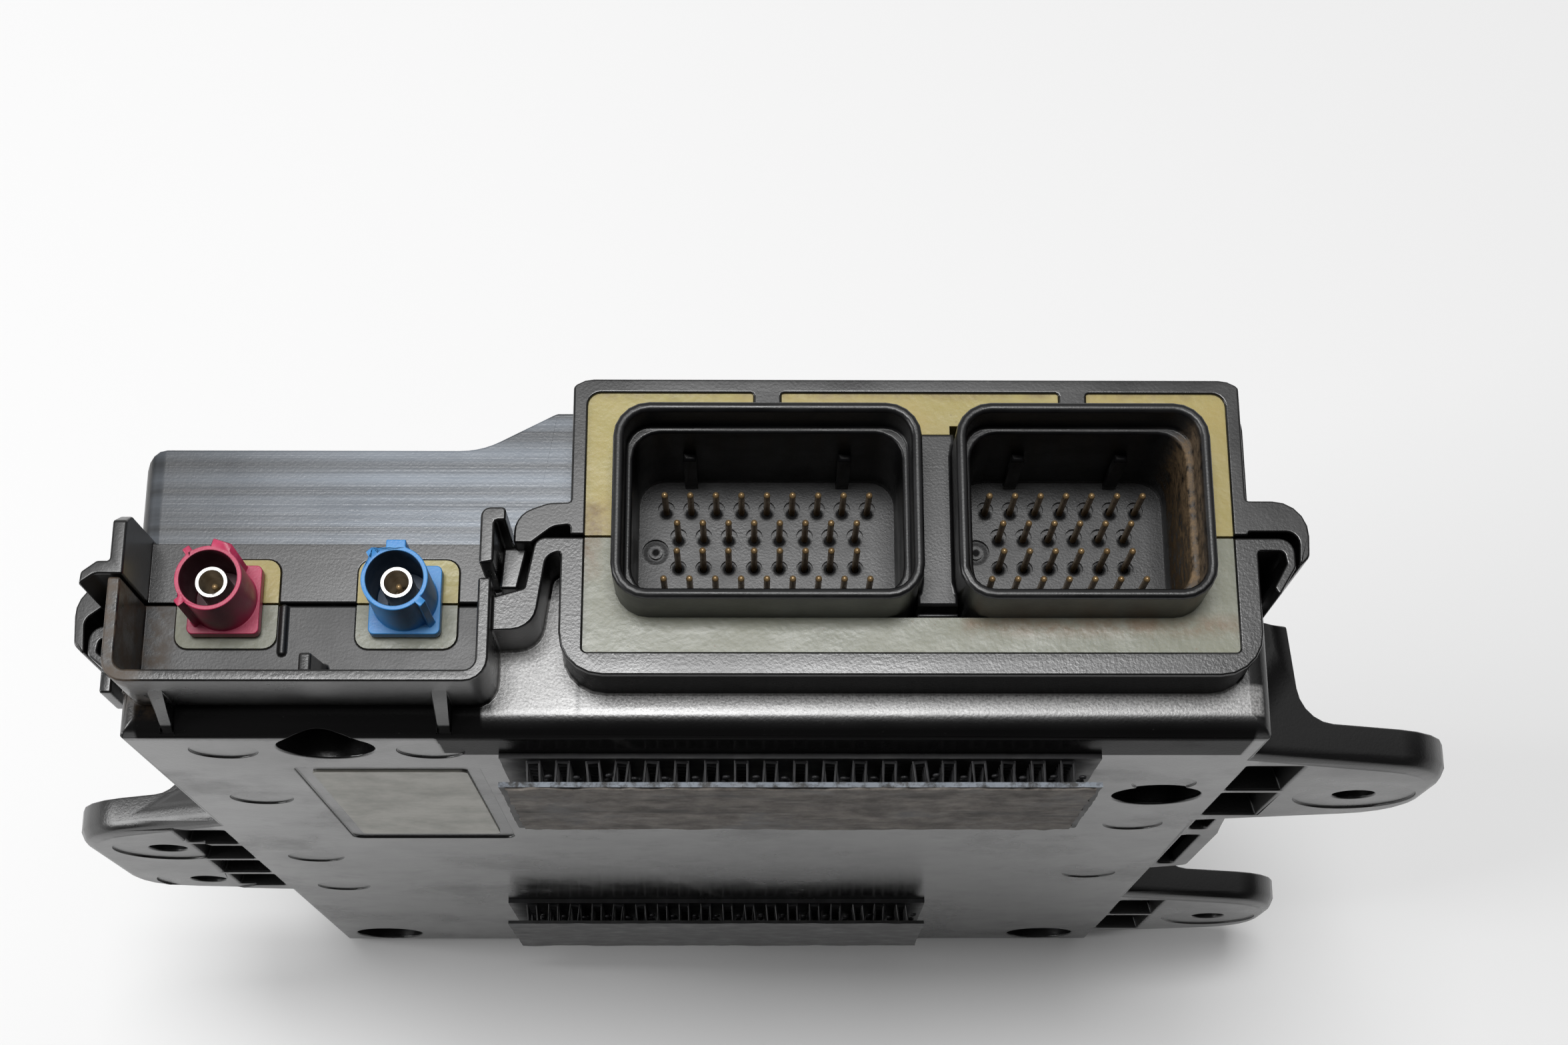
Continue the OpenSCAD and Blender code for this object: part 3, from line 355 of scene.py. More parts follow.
@dataclass(frozen=True)
class Finish:
    """Look of a surface, with a material of its own."""

    name: str
    colour: Colour

    def dress(self, sheet: Sheet) -> None:
        """Sets the nodes of the finish.

        Args:
            sheet: the material's node tree.
        """
        raise NotImplementedError

    def material(self) -> bpy.types.Material:
        """Builds the finish.

        Returns:
            The material.
        """
        made = Sheet(self.name)
        self.dress(made)
        return made.material


@dataclass(frozen=True)
class MouldedBlack(Finish):
    """Black glass-filled plastic with a spark grain, dust in its corners, scratches and streaked drag marks;
    chosen faces get a painted sparkling sheen and the streaked face a painted bluish reflection.
    """

    colour: Colour = (0.0045, 0.0044, 0.0045)
    roughness: float = 0.30
    grain: float = 0.65
    dust: Colour = (0.14, 0.09, 0.05)
    dusty: tuple[Region, ...] = ()
    dull: tuple[Region, ...] = ()
    # Faces given a painted sheen: a pale sparkling colour that stands in for light glinting on them.
    bright: tuple[Region, ...] = ()
    deep: tuple[Region, ...] = ()
    streaks_and_painted_reflection: Optional[Region] = None
    rubbed: Optional[Region] = None
    # Colour of the painted sheen.
    pale: Colour = (0.36, 0.355, 0.35)
    # Colour of the painted bluish reflection on the streaked face.
    painted_reflection: Colour = (0.34, 0.385, 0.445)
    index: float = 1.55
    least_index: float = 1.05

    def dress(self, sheet: Sheet) -> None:
        """See Finish."""
        smudge = sheet.noise(75.0, 4.0, 0.6)
        cloud = sheet.noise(26.0, 2.0)
        fine = sheet.noise(3000.0, 1.0)
        speck = sheet.noise(1500.0, 2.0, 0.7)
        worn = tuple(1.6 * c for c in self.colour)
        base: object = sheet.mix(sheet.remap(cloud, 0.35, 0.7), self.colour, worn)
        base = sheet.mix(sheet.remap(speck, 0.7, 0.8, 0.0, 0.4), base, (0.05, 0.049, 0.047))
        rough: object = sheet.remap(smudge, 0.3, 0.75, self.roughness - 0.05, self.roughness + 0.07)
        for region in self.dull:
            rough = sheet.plus(rough, sheet.times(sheet.inside(*region, 0.5), 0.14))
        for region in self.dusty:
            patch = sheet.patch(region, 1.4, 420.0, 0.7, 0.40, 0.64)
            base = sheet.mix(sheet.times(patch, 0.45), base, self.dust)
            rough = sheet.plus(rough, sheet.times(patch, 0.3))
        # Painted sheen: on the faces in bright the colour turns pale in a sparkling pattern, standing in for
        # glints of light.
        spark = sheet.remap(sheet.noise(3600.0, 2.0, 0.6), 0.36, 0.62, 0.42, 1.0)
        for region in self.bright:
            base = sheet.mix(sheet.times(sheet.inside(*region, 0.22), spark), base, self.pale)
        index: object = self.index
        for region in self.deep:
            drop = sheet.times(sheet.inside(*region, 0.2), 0.5)
            index = sheet.math("MAXIMUM", sheet.minus(index, drop), self.least_index)
        height = sheet.plus(sheet.times(fine, 0.6), sheet.times(speck, 0.7))
        normal = sheet.bump(height, 0.00004 * self.grain, 0.6)
        if self.rubbed is not None:
            face = sheet.inside(*self.rubbed, 0.4)
            lines = sheet.noise(1.0, 2.0, 0.5, sheet.stretched((150.0, 1.0, 9.0), turn=(0.0, 24.0, 0.0)))
            scratch = sheet.times(face, sheet.remap(lines, 0.66, 0.72))
            base = sheet.mix(sheet.times(scratch, 0.28), base, (0.11, 0.108, 0.105))
            cloudy = sheet.remap(sheet.noise(48.0, 5.0, 0.65), 0.5, 0.68, -0.09, 0.04)
            stain = sheet.times(face, cloudy)
            rough = sheet.plus(rough, stain)
        # Painted reflection: a pale bluish colour in bands on the streaked face stands in for light reflected in
        # it, fading towards lower x and higher y; the bands also make it glossier, and the fine lines in the
        # bump are real drag marks.
        if self.streaks_and_painted_reflection is not None:
            face = sheet.inside(*self.streaks_and_painted_reflection, 0.3)
            lines = sheet.noise(1.0, 3.0, 0.6, sheet.stretched((12.0, 2100.0, 1500.0)))
            bands = sheet.noise(1.0, 3.0, 0.55, sheet.stretched((4.0, 420.0, 1.0)))
            fade = sheet.times(sheet.remap(sheet.along(Axis.X), -0.066, -0.038, 0.25, 1.0),
                               sheet.remap(sheet.along(Axis.Y), 0.006, 0.0165, 1.0, 0.55))
            gloss_and_painted_reflection = sheet.times(sheet.times(face, fade), sheet.remap(bands, 0.3, 0.64))
            rough = sheet.minus(rough, sheet.times(gloss_and_painted_reflection, 0.1))
            base = sheet.mix(sheet.times(gloss_and_painted_reflection, 0.85), base, self.painted_reflection)
            normal = sheet.bump(sheet.times(face, lines), 0.00003, 0.5, normal)
        sheet.set(Base_Color=base, Roughness=rough, Normal=normal, IOR=index, Specular_IOR_Level=0.6)


@dataclass(frozen=True)
class SatinBlack(Finish):
    """Deep black satin plastic of the pin headers."""

    colour: Colour = (0.0046, 0.0046, 0.005)
    roughness: float = 0.34
    dust: Colour = (0.20, 0.135, 0.075)
    dusty: tuple[Region, ...] = ()
    sockets: tuple[tuple[float, int], ...] = ()
    deep: tuple[Region, ...] = ()
    marks: tuple[tuple[float, float], ...] = ()
    index: float = 1.5
    least_index: float = 1.06
    socket: tuple[float, float] = (0.62, 0.95)
    socket_drop: float = 0.25

    def shine(self, sheet: Sheet) -> Socket:
        """Index of refraction, low in the deep walls and round the foot of each pin.

        Args:
            sheet: the material's node tree.

        Returns:
            The index.
        """
        index: object = self.index
        for region in self.deep:
            index = sheet.minus(index, sheet.times(sheet.inside(*region, 0.3), 0.3))
        floor = sheet.minus(1.0, sheet.beyond(Axis.Z, 157.2 * MM, 0.2 * MM))
        core, rim = self.socket
        for first, count in self.sockets:
            for row, y in enumerate(PIN_ROWS):
                shift = 0.5 if row in SHORT_ROWS else 0.0
                start = first + shift * PIN_PITCH
                end = first + (count - 1 - shift) * PIN_PITCH
                span = sheet.inside((start - rim, -4.0, 155.0), (end + rim, 11.0, 157.0), 0.2)
                step = sheet.math("DIVIDE", sheet.along(Axis.X), PIN_PITCH * MM)
                turn = sheet.math("PINGPONG", sheet.plus(step, shift - first / PIN_PITCH), 0.5)
                across = sheet.math("POWER", sheet.times(turn, PIN_PITCH), 2.0)
                rise = sheet.math("DIVIDE", sheet.minus(sheet.along(Axis.Y), (y - self.socket_drop) * MM), MM)
                away = sheet.math("SQRT", sheet.plus(across, sheet.math("POWER", rise, 2.0)))
                ring = sheet.times(sheet.remap(away, core, rim, 1.0, 0.0), span)
                index = sheet.minus(index, sheet.times(ring, 0.4))
        for middle in self.marks:
            ring = sheet.minus(sheet.within(middle, 1.5, 0.15), sheet.within(middle, 0.95, 0.15))
            ring = sheet.plus(sheet.times(ring, 0.6), sheet.within(middle, 0.45, 0.12))
            index = sheet.minus(index, sheet.times(sheet.times(ring, floor), 0.4))
        return sheet.math("MAXIMUM", index, self.least_index)

    def dress(self, sheet: Sheet) -> None:
        """See Finish."""
        cloud = sheet.noise(160.0, 4.0, 0.6)
        fine = sheet.noise(3800.0, 2.0)
        base: object = sheet.mix(sheet.remap(cloud, 0.4, 0.7), self.colour, tuple(1.7 * c for c in self.colour))
        rough: object = sheet.remap(cloud, 0.3, 0.75, self.roughness - 0.06, self.roughness + 0.1)
        for region in self.dusty:
            patch = sheet.patch(region, 0.8, 700.0, 0.75, 0.36, 0.6)
            base = sheet.mix(sheet.times(patch, 0.85), base, self.dust)
            rough = sheet.plus(rough, sheet.times(patch, 0.5))
        sheet.set(Base_Color=base, Roughness=rough, Normal=sheet.bump(fine, 0.00003, 0.4),
                  IOR=self.shine(sheet))


@dataclass(frozen=True)
class Potting(Finish):
    """Cloudy cast resin that shows light through, with specks and soiled edges and corners."""

    stain: Colour
    soil: Colour = (0.16, 0.10, 0.05)
    soiled: tuple[Region, ...] = ()

    def dress(self, sheet: Sheet) -> None:
        """See Finish."""
        cloud = sheet.noise(85.0, 3.0, 0.55)
        speck = sheet.remap(sheet.noise(1300.0, 2.0, 0.6), 0.71, 0.78)
        base = sheet.mix(sheet.remap(cloud, 0.36, 0.7), self.colour, self.stain)
        base = sheet.mix(sheet.times(speck, 0.5), base, self.soil)
        for region in self.soiled:
            patch = sheet.patch(region, 0.7, 360.0, 0.7, 0.38, 0.64)
            base = sheet.mix(sheet.times(patch, 0.8), base, self.soil)
        rough = sheet.remap(cloud, 0.3, 0.8, 0.26, 0.46)
        ripple = sheet.bump(sheet.noise(160.0, 2.0), 0.0004, 0.35)
        normal = sheet.bump(sheet.noise(1500.0, 2.0), 0.00006, 0.4, ripple)
        sheet.set(Base_Color=base, Roughness=rough, Normal=normal, IOR=1.45,
                  Subsurface_Weight=0.25, Subsurface_Radius=(0.003, 0.0025, 0.0015),
                  Subsurface_Scale=0.5)


@dataclass(frozen=True)
class PlugPlastic(Finish):
    """Coloured moulded plastic of a coax plug, with painted shade inside its barrel."""

    scuff: Colour
    axis: tuple[float, float]
    bore: float = 3.27

    def dress(self, sheet: Sheet) -> None:
        """See Finish."""
        cloud = sheet.noise(520.0, 3.0, 0.6)
        base = sheet.mix(sheet.remap(cloud, 0.42, 0.75), self.colour, self.scuff)
        # Painted shade: inside the bore the colour is darkened to about a sixth.
        base = sheet.mix(sheet.within(self.axis, self.bore, 0.05), base, tuple(0.16 * c for c in self.colour))
        rough = sheet.remap(cloud, 0.3, 0.8, 0.34, 0.5)
        normal = sheet.bump(sheet.noise(4200.0, 2.0), 0.00003, 0.5)
        sheet.set(Base_Color=base, Roughness=rough, Normal=normal, IOR=1.5,
                  Subsurface_Weight=0.06, Subsurface_Radius=(0.001, 0.001, 0.001), Subsurface_Scale=0.3)


@dataclass(frozen=True)
class PlatedMetal(Finish):
    """Plated metal with fine turning marks and a little tarnish."""

    tarnish: Colour
    roughness: float
    metallic: float = 1.0

    def dress(self, sheet: Sheet) -> None:
        """See Finish."""
        cloud = sheet.noise(900.0, 3.0, 0.6)
        rings = sheet.noise(1.0, 2.0, 0.5, sheet.stretched((600.0, 600.0, 9000.0)))
        base = sheet.mix(sheet.remap(cloud, 0.45, 0.8), self.colour, self.tarnish)
        rough = sheet.remap(cloud, 0.3, 0.8, self.roughness, self.roughness + 0.16)
        sheet.set(Base_Color=base, Roughness=rough, Metallic=self.metallic,
                  Normal=sheet.bump(rings, 0.00002, 0.3))


@dataclass(frozen=True)
class LabelFilm(Finish):
    """Bare cream label film with grey handling marks."""

    colour: Colour = (0.40, 0.39, 0.345)
    soil: Colour = (0.27, 0.265, 0.235)

    def dress(self, sheet: Sheet) -> None:
        """See Finish."""
        cloud = sheet.noise(150.0, 4.0, 0.65)
        base = sheet.mix(sheet.remap(cloud, 0.4, 0.72), self.colour, self.soil)
        rough = sheet.remap(cloud, 0.3, 0.8, 0.4, 0.6)
        sheet.set(Base_Color=base, Roughness=rough, Normal=sheet.bump(cloud, 0.00005, 0.3))


@dataclass(frozen=True)
class DustyFoam(Finish):
    """Old adhesive foam that has caught brown and grey dust, with drag marks."""

    colour: Colour = (0.068, 0.058, 0.050)
    pale: Colour = (0.19, 0.17, 0.15)
    dark: Colour = (0.016, 0.014, 0.013)

    def dress(self, sheet: Sheet) -> None:
        """See Finish."""
        blotch = sheet.noise(210.0, 6.0, 0.7)
        drag = sheet.noise(1.0, 4.0, 0.65, sheet.stretched((70.0, 900.0, 420.0)))
        bare = sheet.noise(75.0, 5.0, 0.7)
        base = sheet.mix(sheet.remap(blotch, 0.38, 0.66), self.colour, self.pale)
        base = sheet.mix(sheet.remap(drag, 0.52, 0.68, 0.0, 0.7), base, self.dark)
        base = sheet.mix(sheet.remap(bare, 0.56, 0.66, 0.0, 0.75), base, self.dark)
        rough = sheet.remap(bare, 0.5, 0.7, 0.85, 0.55)
        sheet.set(Base_Color=base, Roughness=rough, Normal=sheet.bump(blotch, 0.0003, 0.6))


@dataclass(frozen=True)
class TapeBlack(Finish):
    """Black tape backing and stems with a faint sheen; its front edge may carry a painted glint, a pale bluish
    line.
    """

    colour: Colour = (0.009, 0.009, 0.009)
    roughness: float = 0.5
    sheen: float = 0.5
    painted_glint_height: Optional[float] = None

    def dress(self, sheet: Sheet) -> None:
        """See Finish."""
        cloud = sheet.noise(300.0, 4.0, 0.6)
        base = sheet.mix(sheet.remap(cloud, 0.45, 0.75), self.colour, tuple(3.0 * c for c in self.colour))
        # Painted glint: a pale bluish line, broken up by noise, along the front edge stands in for light caught
        # by it.
        if self.painted_glint_height is not None:
            edge = sheet.times(sheet.near(Axis.Z, self.painted_glint_height * MM, 0.0007),
                               sheet.remap(sheet.noise(700.0, 4.0, 0.7), 0.38, 0.56))
            base = sheet.mix(edge, base, (0.22, 0.25, 0.29))
        rough = sheet.remap(cloud, 0.3, 0.8, self.roughness, self.roughness + 0.25)
        sheet.set(Base_Color=base, Roughness=rough, Normal=sheet.bump(cloud, 0.0001, 0.4),
                  Specular_IOR_Level=self.sheen)


@dataclass(frozen=True)
class PlainSolid(Finish):
    """Inner parts that stay out of sight: one colour with a mild cloud."""

    roughness: float = 0.5
    metallic: float = 0.0

    def dress(self, sheet: Sheet) -> None:
        """See Finish."""
        cloud = sheet.noise(240.0, 3.0, 0.6)
        base = sheet.mix(sheet.remap(cloud, 0.4, 0.75), self.colour, tuple(0.75 * c for c in self.colour))
        rough = sheet.remap(cloud, 0.3, 0.8, self.roughness - 0.06, self.roughness + 0.06)
        sheet.set(Base_Color=base, Roughness=rough, Metallic=self.metallic)


def add_object(name: str, mesh: bpy.types.Mesh) -> bpy.types.Object:
    """Links a mesh into the scene.

    Args:
        name: the object's name.
        mesh: its mesh, already in place in the row frame.

    Returns:
        The new object.
    """
    made = bpy.data.objects.new(name, mesh)
    bpy.context.scene.collection.objects.link(made)
    return made


def applied(piece: bpy.types.Object) -> bpy.types.Object:
    """Turns a piece's modifiers into plain mesh.

    Args:
        piece: the object with live modifiers.

    Returns:
        The same object with its result as mesh and no modifiers.
    """
    graph = bpy.context.evaluated_depsgraph_get()
    mesh = bpy.data.meshes.new_from_object(piece.evaluated_get(graph))
    piece.modifiers.clear()
    piece.data = mesh
    return piece


def node_box(node: str) -> Region:
    """Box of a CAD node.

    Args:
        node: the node's name.

    Returns:
        Its lowest and highest corners in millimetres.
    """
    corners = [v.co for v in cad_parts[node].data.vertices]
    low = tuple(min(c[k] for c in corners) / MM for k in range(3))
    high = tuple(max(c[k] for c in corners) / MM for k in range(3))
    return low, high


def finish_piece(piece: bpy.types.Object, slot: str, *nodes: str) -> bpy.types.Object:
    """Seats a piece on the unit in place of CAD nodes.

    Args:
        piece: the finished object.
        slot: the record's material slot; not used.
        nodes: CAD nodes that the piece stands for.

    Returns:
        The piece.
    """
    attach(piece, BODY)
    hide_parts(*nodes)
    LOG.info("%s: %d faces", piece.name, len(piece.data.polygons))
    return piece


class Grower(Nodes):
    """Geometry Nodes tree with named sizes, for what repeats on the unit."""

    def __init__(self, name: str) -> None:
        """Starts a tree with a geometry input and output.

        Args:
            name: the tree's name.
        """
        super().__init__(bpy.data.node_groups.new(name, "GeometryNodeTree"))
        self.tree.interface.new_socket("Geometry", in_out="INPUT", socket_type="NodeSocketGeometry")
        self.tree.interface.new_socket("Geometry", in_out="OUTPUT", socket_type="NodeSocketGeometry")
        self.source = self.tree.nodes.new("NodeGroupInput")
        self.keys: dict[str, str] = {}

    def size(self, name: str, kind: str) -> Socket:
        """Adds a named size to the tree.

        Args:
            name: the size's name.
            kind: the socket's type without its NodeSocket prefix.

        Returns:
            The size as an output to link from.
        """
        item = self.tree.interface.new_socket(name, in_out="INPUT", socket_type="NodeSocket" + kind)
        self.keys[name] = item.identifier
        return next(o for o in self.source.outputs if o.identifier == item.identifier)

    def sizes(self, **kinds: str) -> list[Socket]:
        """Adds named sizes to the tree.

        Args:
            kinds: the socket type, without its NodeSocket prefix, by name with underscores for spaces.

        Returns:
            The sizes as outputs to link from, in the order given.
        """
        return [self.size(name.replace("_", " "), kind) for name, kind in kinds.items()]

    def shape(self, kind: str, **inputs: object) -> Socket:
        """Returns a mesh primitive, named without its GeometryNodeMesh prefix."""
        return self.node("GeometryNodeMesh" + kind, **inputs).outputs["Mesh"]

    def vector(self, x: object = 0.0, y: object = 0.0, z: object = 0.0) -> Socket:
        """Returns a vector of three numbers or outputs."""
        return self.node("ShaderNodeCombineXYZ", X=x, Y=y, Z=z).outputs[0]

    def moved(self, geometry: Socket, **inputs: object) -> Socket:
        """Returns the geometry moved, turned or scaled."""
        return self.node("GeometryNodeTransform", Geometry=geometry, **inputs).outputs["Geometry"]

    def joined(self, *parts: Socket) -> Socket:
        """Returns several geometries as one."""
        return self.node("GeometryNodeJoinGeometry", Geometry=list(reversed(parts))).outputs["Geometry"]

    def close(self, instances: Socket, material: bpy.types.Material) -> None:
        """Ends the tree with real mesh and its material.

        Args:
            instances: the instances to realize.
            material: the finish.
        """
        real = self.node("GeometryNodeRealizeInstances", Geometry=instances).outputs["Geometry"]
        dressed = self.node("GeometryNodeSetMaterial", Geometry=real, Material=material).outputs["Geometry"]
        self.tree.links.new(dressed, self.tree.nodes.new("NodeGroupOutput").inputs["Geometry"])

    def grow(self, name: str, **sizes: object) -> bpy.types.Mesh:
        """Runs the tree once.

        Args:
            name: name of the mesh.
            sizes: the tree's sizes by name, with underscores for spaces.

        Returns:
            The grown mesh.
        """
        piece = add_object(name, bpy.data.meshes.new(name))
        growth = piece.modifiers.new("grown", "NODES")
        growth.node_group = self.tree
        for key, value in sizes.items():
            growth[self.keys[key.replace("_", " ")]] = value
        mesh = applied(piece).data
        bpy.data.objects.remove(piece)
        return mesh


def merged(name: str, meshes: list[bpy.types.Mesh]) -> bpy.types.Mesh:
    """Puts several meshes of one finish into one.

    Args:
        name: name of the new mesh.
        meshes: the meshes to join.

    Returns:
        The joined mesh, smooth but for its sharp edges.
    """
    work = bmesh.new()
    for mesh in meshes:
        work.from_mesh(mesh)
    for face in work.faces:
        face.material_index = 0
    made = bpy.data.meshes.new(name)
    work.to_mesh(made)
    work.free()
    made.materials.append(next(m for m in meshes[0].materials if m))
    made.shade_smooth()
    made.set_sharp_from_angle(angle=math.radians(40.0))
    return made


@dataclass
class Maker:
    """Maker of the piece that stands for a CAD node."""

    node: str

    def build(self) -> bpy.types.Object:
        """Makes the piece.

        Returns:
            The finished piece.
        """
        raise NotImplementedError


@dataclass
class PinHeader(Maker):
    """Contact pins of one header: staggered rows of waisted pins with rounded heads, bent down to the board."""

    middle: float
    count: int
    finish: Finish
    tip: float = 163.0
    first_bend: float = 142.7
    bend_step: float = 2.5
    foot: float = -12.6
    shaft: float = 0.38
    head: float = 0.4
    stretch: float = 1.3
    slot: str = "contact_brass"

    def grower(self) -> Grower:
        """Makes the tree of one row.

        Returns:
            The tree.
        """
        tree = Grower("pin_row")
        count, pitch, start, length, tail, shaft, head = tree.sizes(
            Count="Int", Pitch="Float", Start="Vector", Length="Float", Tail="Float", Shaft_Radius="Float",
            Head_Radius="Float")
        line = tree.shape("Line", Count=count, Start_Location=start, Offset=tree.vector(pitch))
        crown = tree.times(head, self.stretch)
        below = tree.minus(length, crown)
        stem = tree.shape("Cylinder", Vertices=12, Radius=shaft, Depth=below)
        stem = tree.moved(stem, Translation=tree.vector(
            z=tree.times(tree.plus(length, crown), -0.5)))
        bulb = tree.shape("UVSphere", Segments=12, Rings=8, Radius=head)
        bulb = tree.moved(bulb, Scale=(1.0, 1.0, self.stretch),
                          Translation=tree.vector(z=tree.times(crown, -1.0)))
        knee = tree.shape("UVSphere", Segments=12, Rings=6, Radius=shaft)
        knee = tree.moved(knee, Translation=tree.vector(z=tree.times(length, -1.0)))
        leg = tree.shape("Cylinder", Vertices=12, Radius=shaft, Depth=tail)
        leg = tree.moved(leg, Rotation=(math.pi / 2, 0.0, 0.0),
                         Translation=tree.vector(y=tree.times(tail, -0.5),
                                                 z=tree.times(length, -1.0)))
        pins = tree.node("GeometryNodeInstanceOnPoints", Points=line,
                         Instance=tree.joined(stem, bulb, knee, leg))
        tree.close(pins.outputs["Instances"], self.finish.material())
        return tree

    def build(self) -> bpy.types.Object:
        """Grows the four rows.

        Returns:
            The finished piece.
        """
        tree = self.grower()
        meshes = []
        for row, y in enumerate(PIN_ROWS):
            count = self.count - (row in SHORT_ROWS)
            first = self.middle - (count - 1) / 2 * PIN_PITCH
            bend = self.first_bend + row * self.bend_step
            meshes.append(tree.grow("pins", Count=count, Pitch=PIN_PITCH * MM, Length=(self.tip - bend) * MM,
                                    Start=(first * MM, y * MM, self.tip * MM), Tail=(y - self.foot) * MM,
                                    Shaft_Radius=self.shaft * MM, Head_Radius=self.head * MM))
        return finish_piece(add_object(self.node + "_grown", merged(self.node, meshes)), self.slot, self.node)


@dataclass
class StripBase(Maker):
    """Base tape of a fastener strip with its field of paired stems, each pair leaning its own way."""

    middle: tuple[float, float]
    width: float
    finish: Finish
    seed: int
    height: float = 25.4
    face: float = -20.0
    tape: float = 0.6
    stem: float = 2.7
    pitch: float = 3.5
    gap: float = 1.45
    row: float = 1.75
    stem_radii: tuple[float, float] = (0.14, 0.18)
    cap_radius: float = 0.5
    bar_radius: float = 0.22
    lean: Point = (0.02, 0.0, 0.13)
    margin: float = 0.6
    ragged: float = 0.12
    slot: str = "strip_black"

    def grower(self) -> Grower:
        """Makes the tree of the stem field.

        Returns:
            The tree.
        """
        tree = Grower("stem_field")
        pairs, rows, wide, high, place, length, gap, seed = tree.sizes(
            Pairs="Int", Rows="Int", Wide="Float", High="Float", Place="Vector", Length="Float", Gap="Float",
            Seed="Int")
        grid = tree.shape("Grid", Size_X=wide, Size_Y=high, Vertices_X=pairs, Vertices_Y=rows)
        field_points = tree.moved(grid, Rotation=(math.pi / 2, 0.0, 0.0), Translation=place)
        tip, foot = self.stem_radii
        leg = tree.shape("Cone", Vertices=7, Radius_Top=tip * MM, Radius_Bottom=foot * MM, Depth=length)
        leg = tree.moved(leg, Rotation=(math.pi / 2, 0.0, 0.0))
        cap = tree.shape("UVSphere", Segments=8, Rings=5, Radius=self.cap_radius * MM)
        cap = tree.moved(cap, Scale=(1.0, 0.5, 1.0),
                         Translation=tree.vector(y=tree.times(length, -0.72)))
        half = tree.times(gap, 0.5)
        left = tree.moved(leg, Translation=tree.vector(x=tree.times(half, -1.0)))
        right = tree.moved(leg, Translation=tree.vector(x=half))
        bar = tree.shape("Cylinder", Vertices=6, Radius=self.bar_radius * MM, Depth=gap)
        bar = tree.moved(bar, Rotation=(0.0, math.pi / 2, 0.0), Translation=(0.0, -0.0002, 0.0))
        knob = tree.moved(cap, Translation=tree.vector(x=tree.times(gap, 1.2)))
        lean = tree.node("FunctionNodeRandomValue", {"data_type": "FLOAT_VECTOR"}, Seed=seed)
        for key, value in (("Min", tuple(-a for a in self.lean)), ("Max", self.lean)):
            next(i for i in lean.inputs if i.name == key and i.type == "VECTOR").default_value = value
        turn = next(o for o in lean.outputs if o.type == "VECTOR")
        stems = tree.node("GeometryNodeInstanceOnPoints", Points=field_points,
                          Instance=tree.joined(left, right, bar, knob), Rotation=turn)
        tree.close(stems.outputs["Instances"], self.finish.material())
        return tree

    def build(self) -> bpy.types.Object:
        """Grows the stems and adds the tape.

        Returns:
            The finished piece.
        """
        x, z = self.middle
        pairs = int((self.width - self.gap - self.margin) / self.pitch)
        rows = int((self.height - 2 * self.margin) / self.row) + 1
        top = self.face - self.tape
        stems = self.grower().grow("stems", Pairs=pairs, Rows=rows, Wide=(pairs - 1) * self.pitch * MM,
                                   High=(rows - 1) * self.row * MM, Place=(x * MM, top * MM, z * MM),
                                   Length=self.stem * MM, Gap=self.gap * MM, Seed=self.seed)
        tape = slab("tape", (x - self.width / 2, top, z - self.height / 2),
                    (x + self.width / 2, self.face, z + self.height / 2), self.seed, self.ragged)
        mesh = merged(self.node, [stems, tape])
        return finish_piece(add_object(self.node + "_grown", mesh), self.slot, self.node)


def slab(name: str, low: Point, high: Point, seed: int, ragged: float, rise: float = 0.0) -> bpy.types.Mesh:
    """Thin slab in the plane of x and z with a cut, ragged border and an uneven outer face.

    Args:
        name: the mesh's name.
        low: lowest corner in millimetres.
        high: highest corner in millimetres.
        seed: offset of the noise that shapes the border.
        ragged: how far the border may draw in, in millimetres.
        rise: how far the outer face, at the lowest y, may sink, in millimetres.

    Returns:
        The closed mesh.
    """
    columns = int((high[0] - low[0]) / GRID_STEP)
    rows = int((high[2] - low[2]) / GRID_STEP)
    work = bmesh.new()
    layers = []
    for y in (high[1], low[1]):
        layer = []
        for k in range(rows + 1):
            line = []
            for i in range(columns + 1):
                u = i / columns
                v = k / rows
                x = low[0] + u * (high[0] - low[0])
                z = low[2] + v * (high[2] - low[2])
                bite = ragged * (0.5 + 0.5 * noise.noise(Vector((x * 0.9, seed * 3.7, z * 0.9))))
                bite += ragged * 0.8 * max(0.0, noise.noise(Vector((x * 0.23, seed * 5.1, z * 0.23))))
                x += bite * ((i == 0) - (i == columns))
                z += bite * ((k == 0) - (k == rows))
                dip = 0.0
                if y == low[1]:
                    dip = rise * (0.5 + 0.5 * noise.noise(Vector((x * 0.35, seed * 1.3, z * 0.5))))
                line.append(work.verts.new(Vector((x, y + dip, z)) * MM))
            layer.append(line)
        layers.append(layer)
    inner, outer = layers
    for k in range(rows):
        for i in range(columns):
            work.faces.new((inner[k][i], inner[k + 1][i], inner[k + 1][i + 1], inner[k][i + 1]))
            work.faces.new((outer[k][i], outer[k][i + 1], outer[k + 1][i + 1], outer[k + 1][i]))
    border = [(0, i) for i in range(columns)] + [(k, columns) for k in range(rows)]
    border += [(rows, i) for i in range(columns, 0, -1)] + [(k, 0) for k in range(rows, 0, -1)]
    for (k0, i0), (k1, i1) in zip(border, border[1:] + border[:1]):
        work.faces.new((inner[k0][i0], inner[k1][i1], outer[k1][i1], outer[k0][i0]))
    bmesh.ops.recalc_face_normals(work, faces=work.faces)
    made = bpy.data.meshes.new(name)
    work.to_mesh(made)
    work.free()
    return made


@dataclass
class RaggedLayer(Maker):
    """Layer of a fastener strip with cut edges that have frayed: the mated cover tape or the dusty foam."""

    slot: str
    finish: Finish
    seed: int
    ragged: float
    rise: float = 0.0

    def build(self) -> bpy.types.Object:
        """Makes the layer in the box of its CAD node.

        Returns:
            The finished piece.
        """
        low, high = node_box(self.node)
        mesh = slab(self.node, low, high, self.seed, self.ragged, self.rise)
        mesh.materials.append(self.finish.material())
        mesh.shade_smooth()
        mesh.set_sharp_from_angle(angle=math.radians(50.0))
        return finish_piece(add_object(self.node + "_worn", mesh), self.slot, self.node)


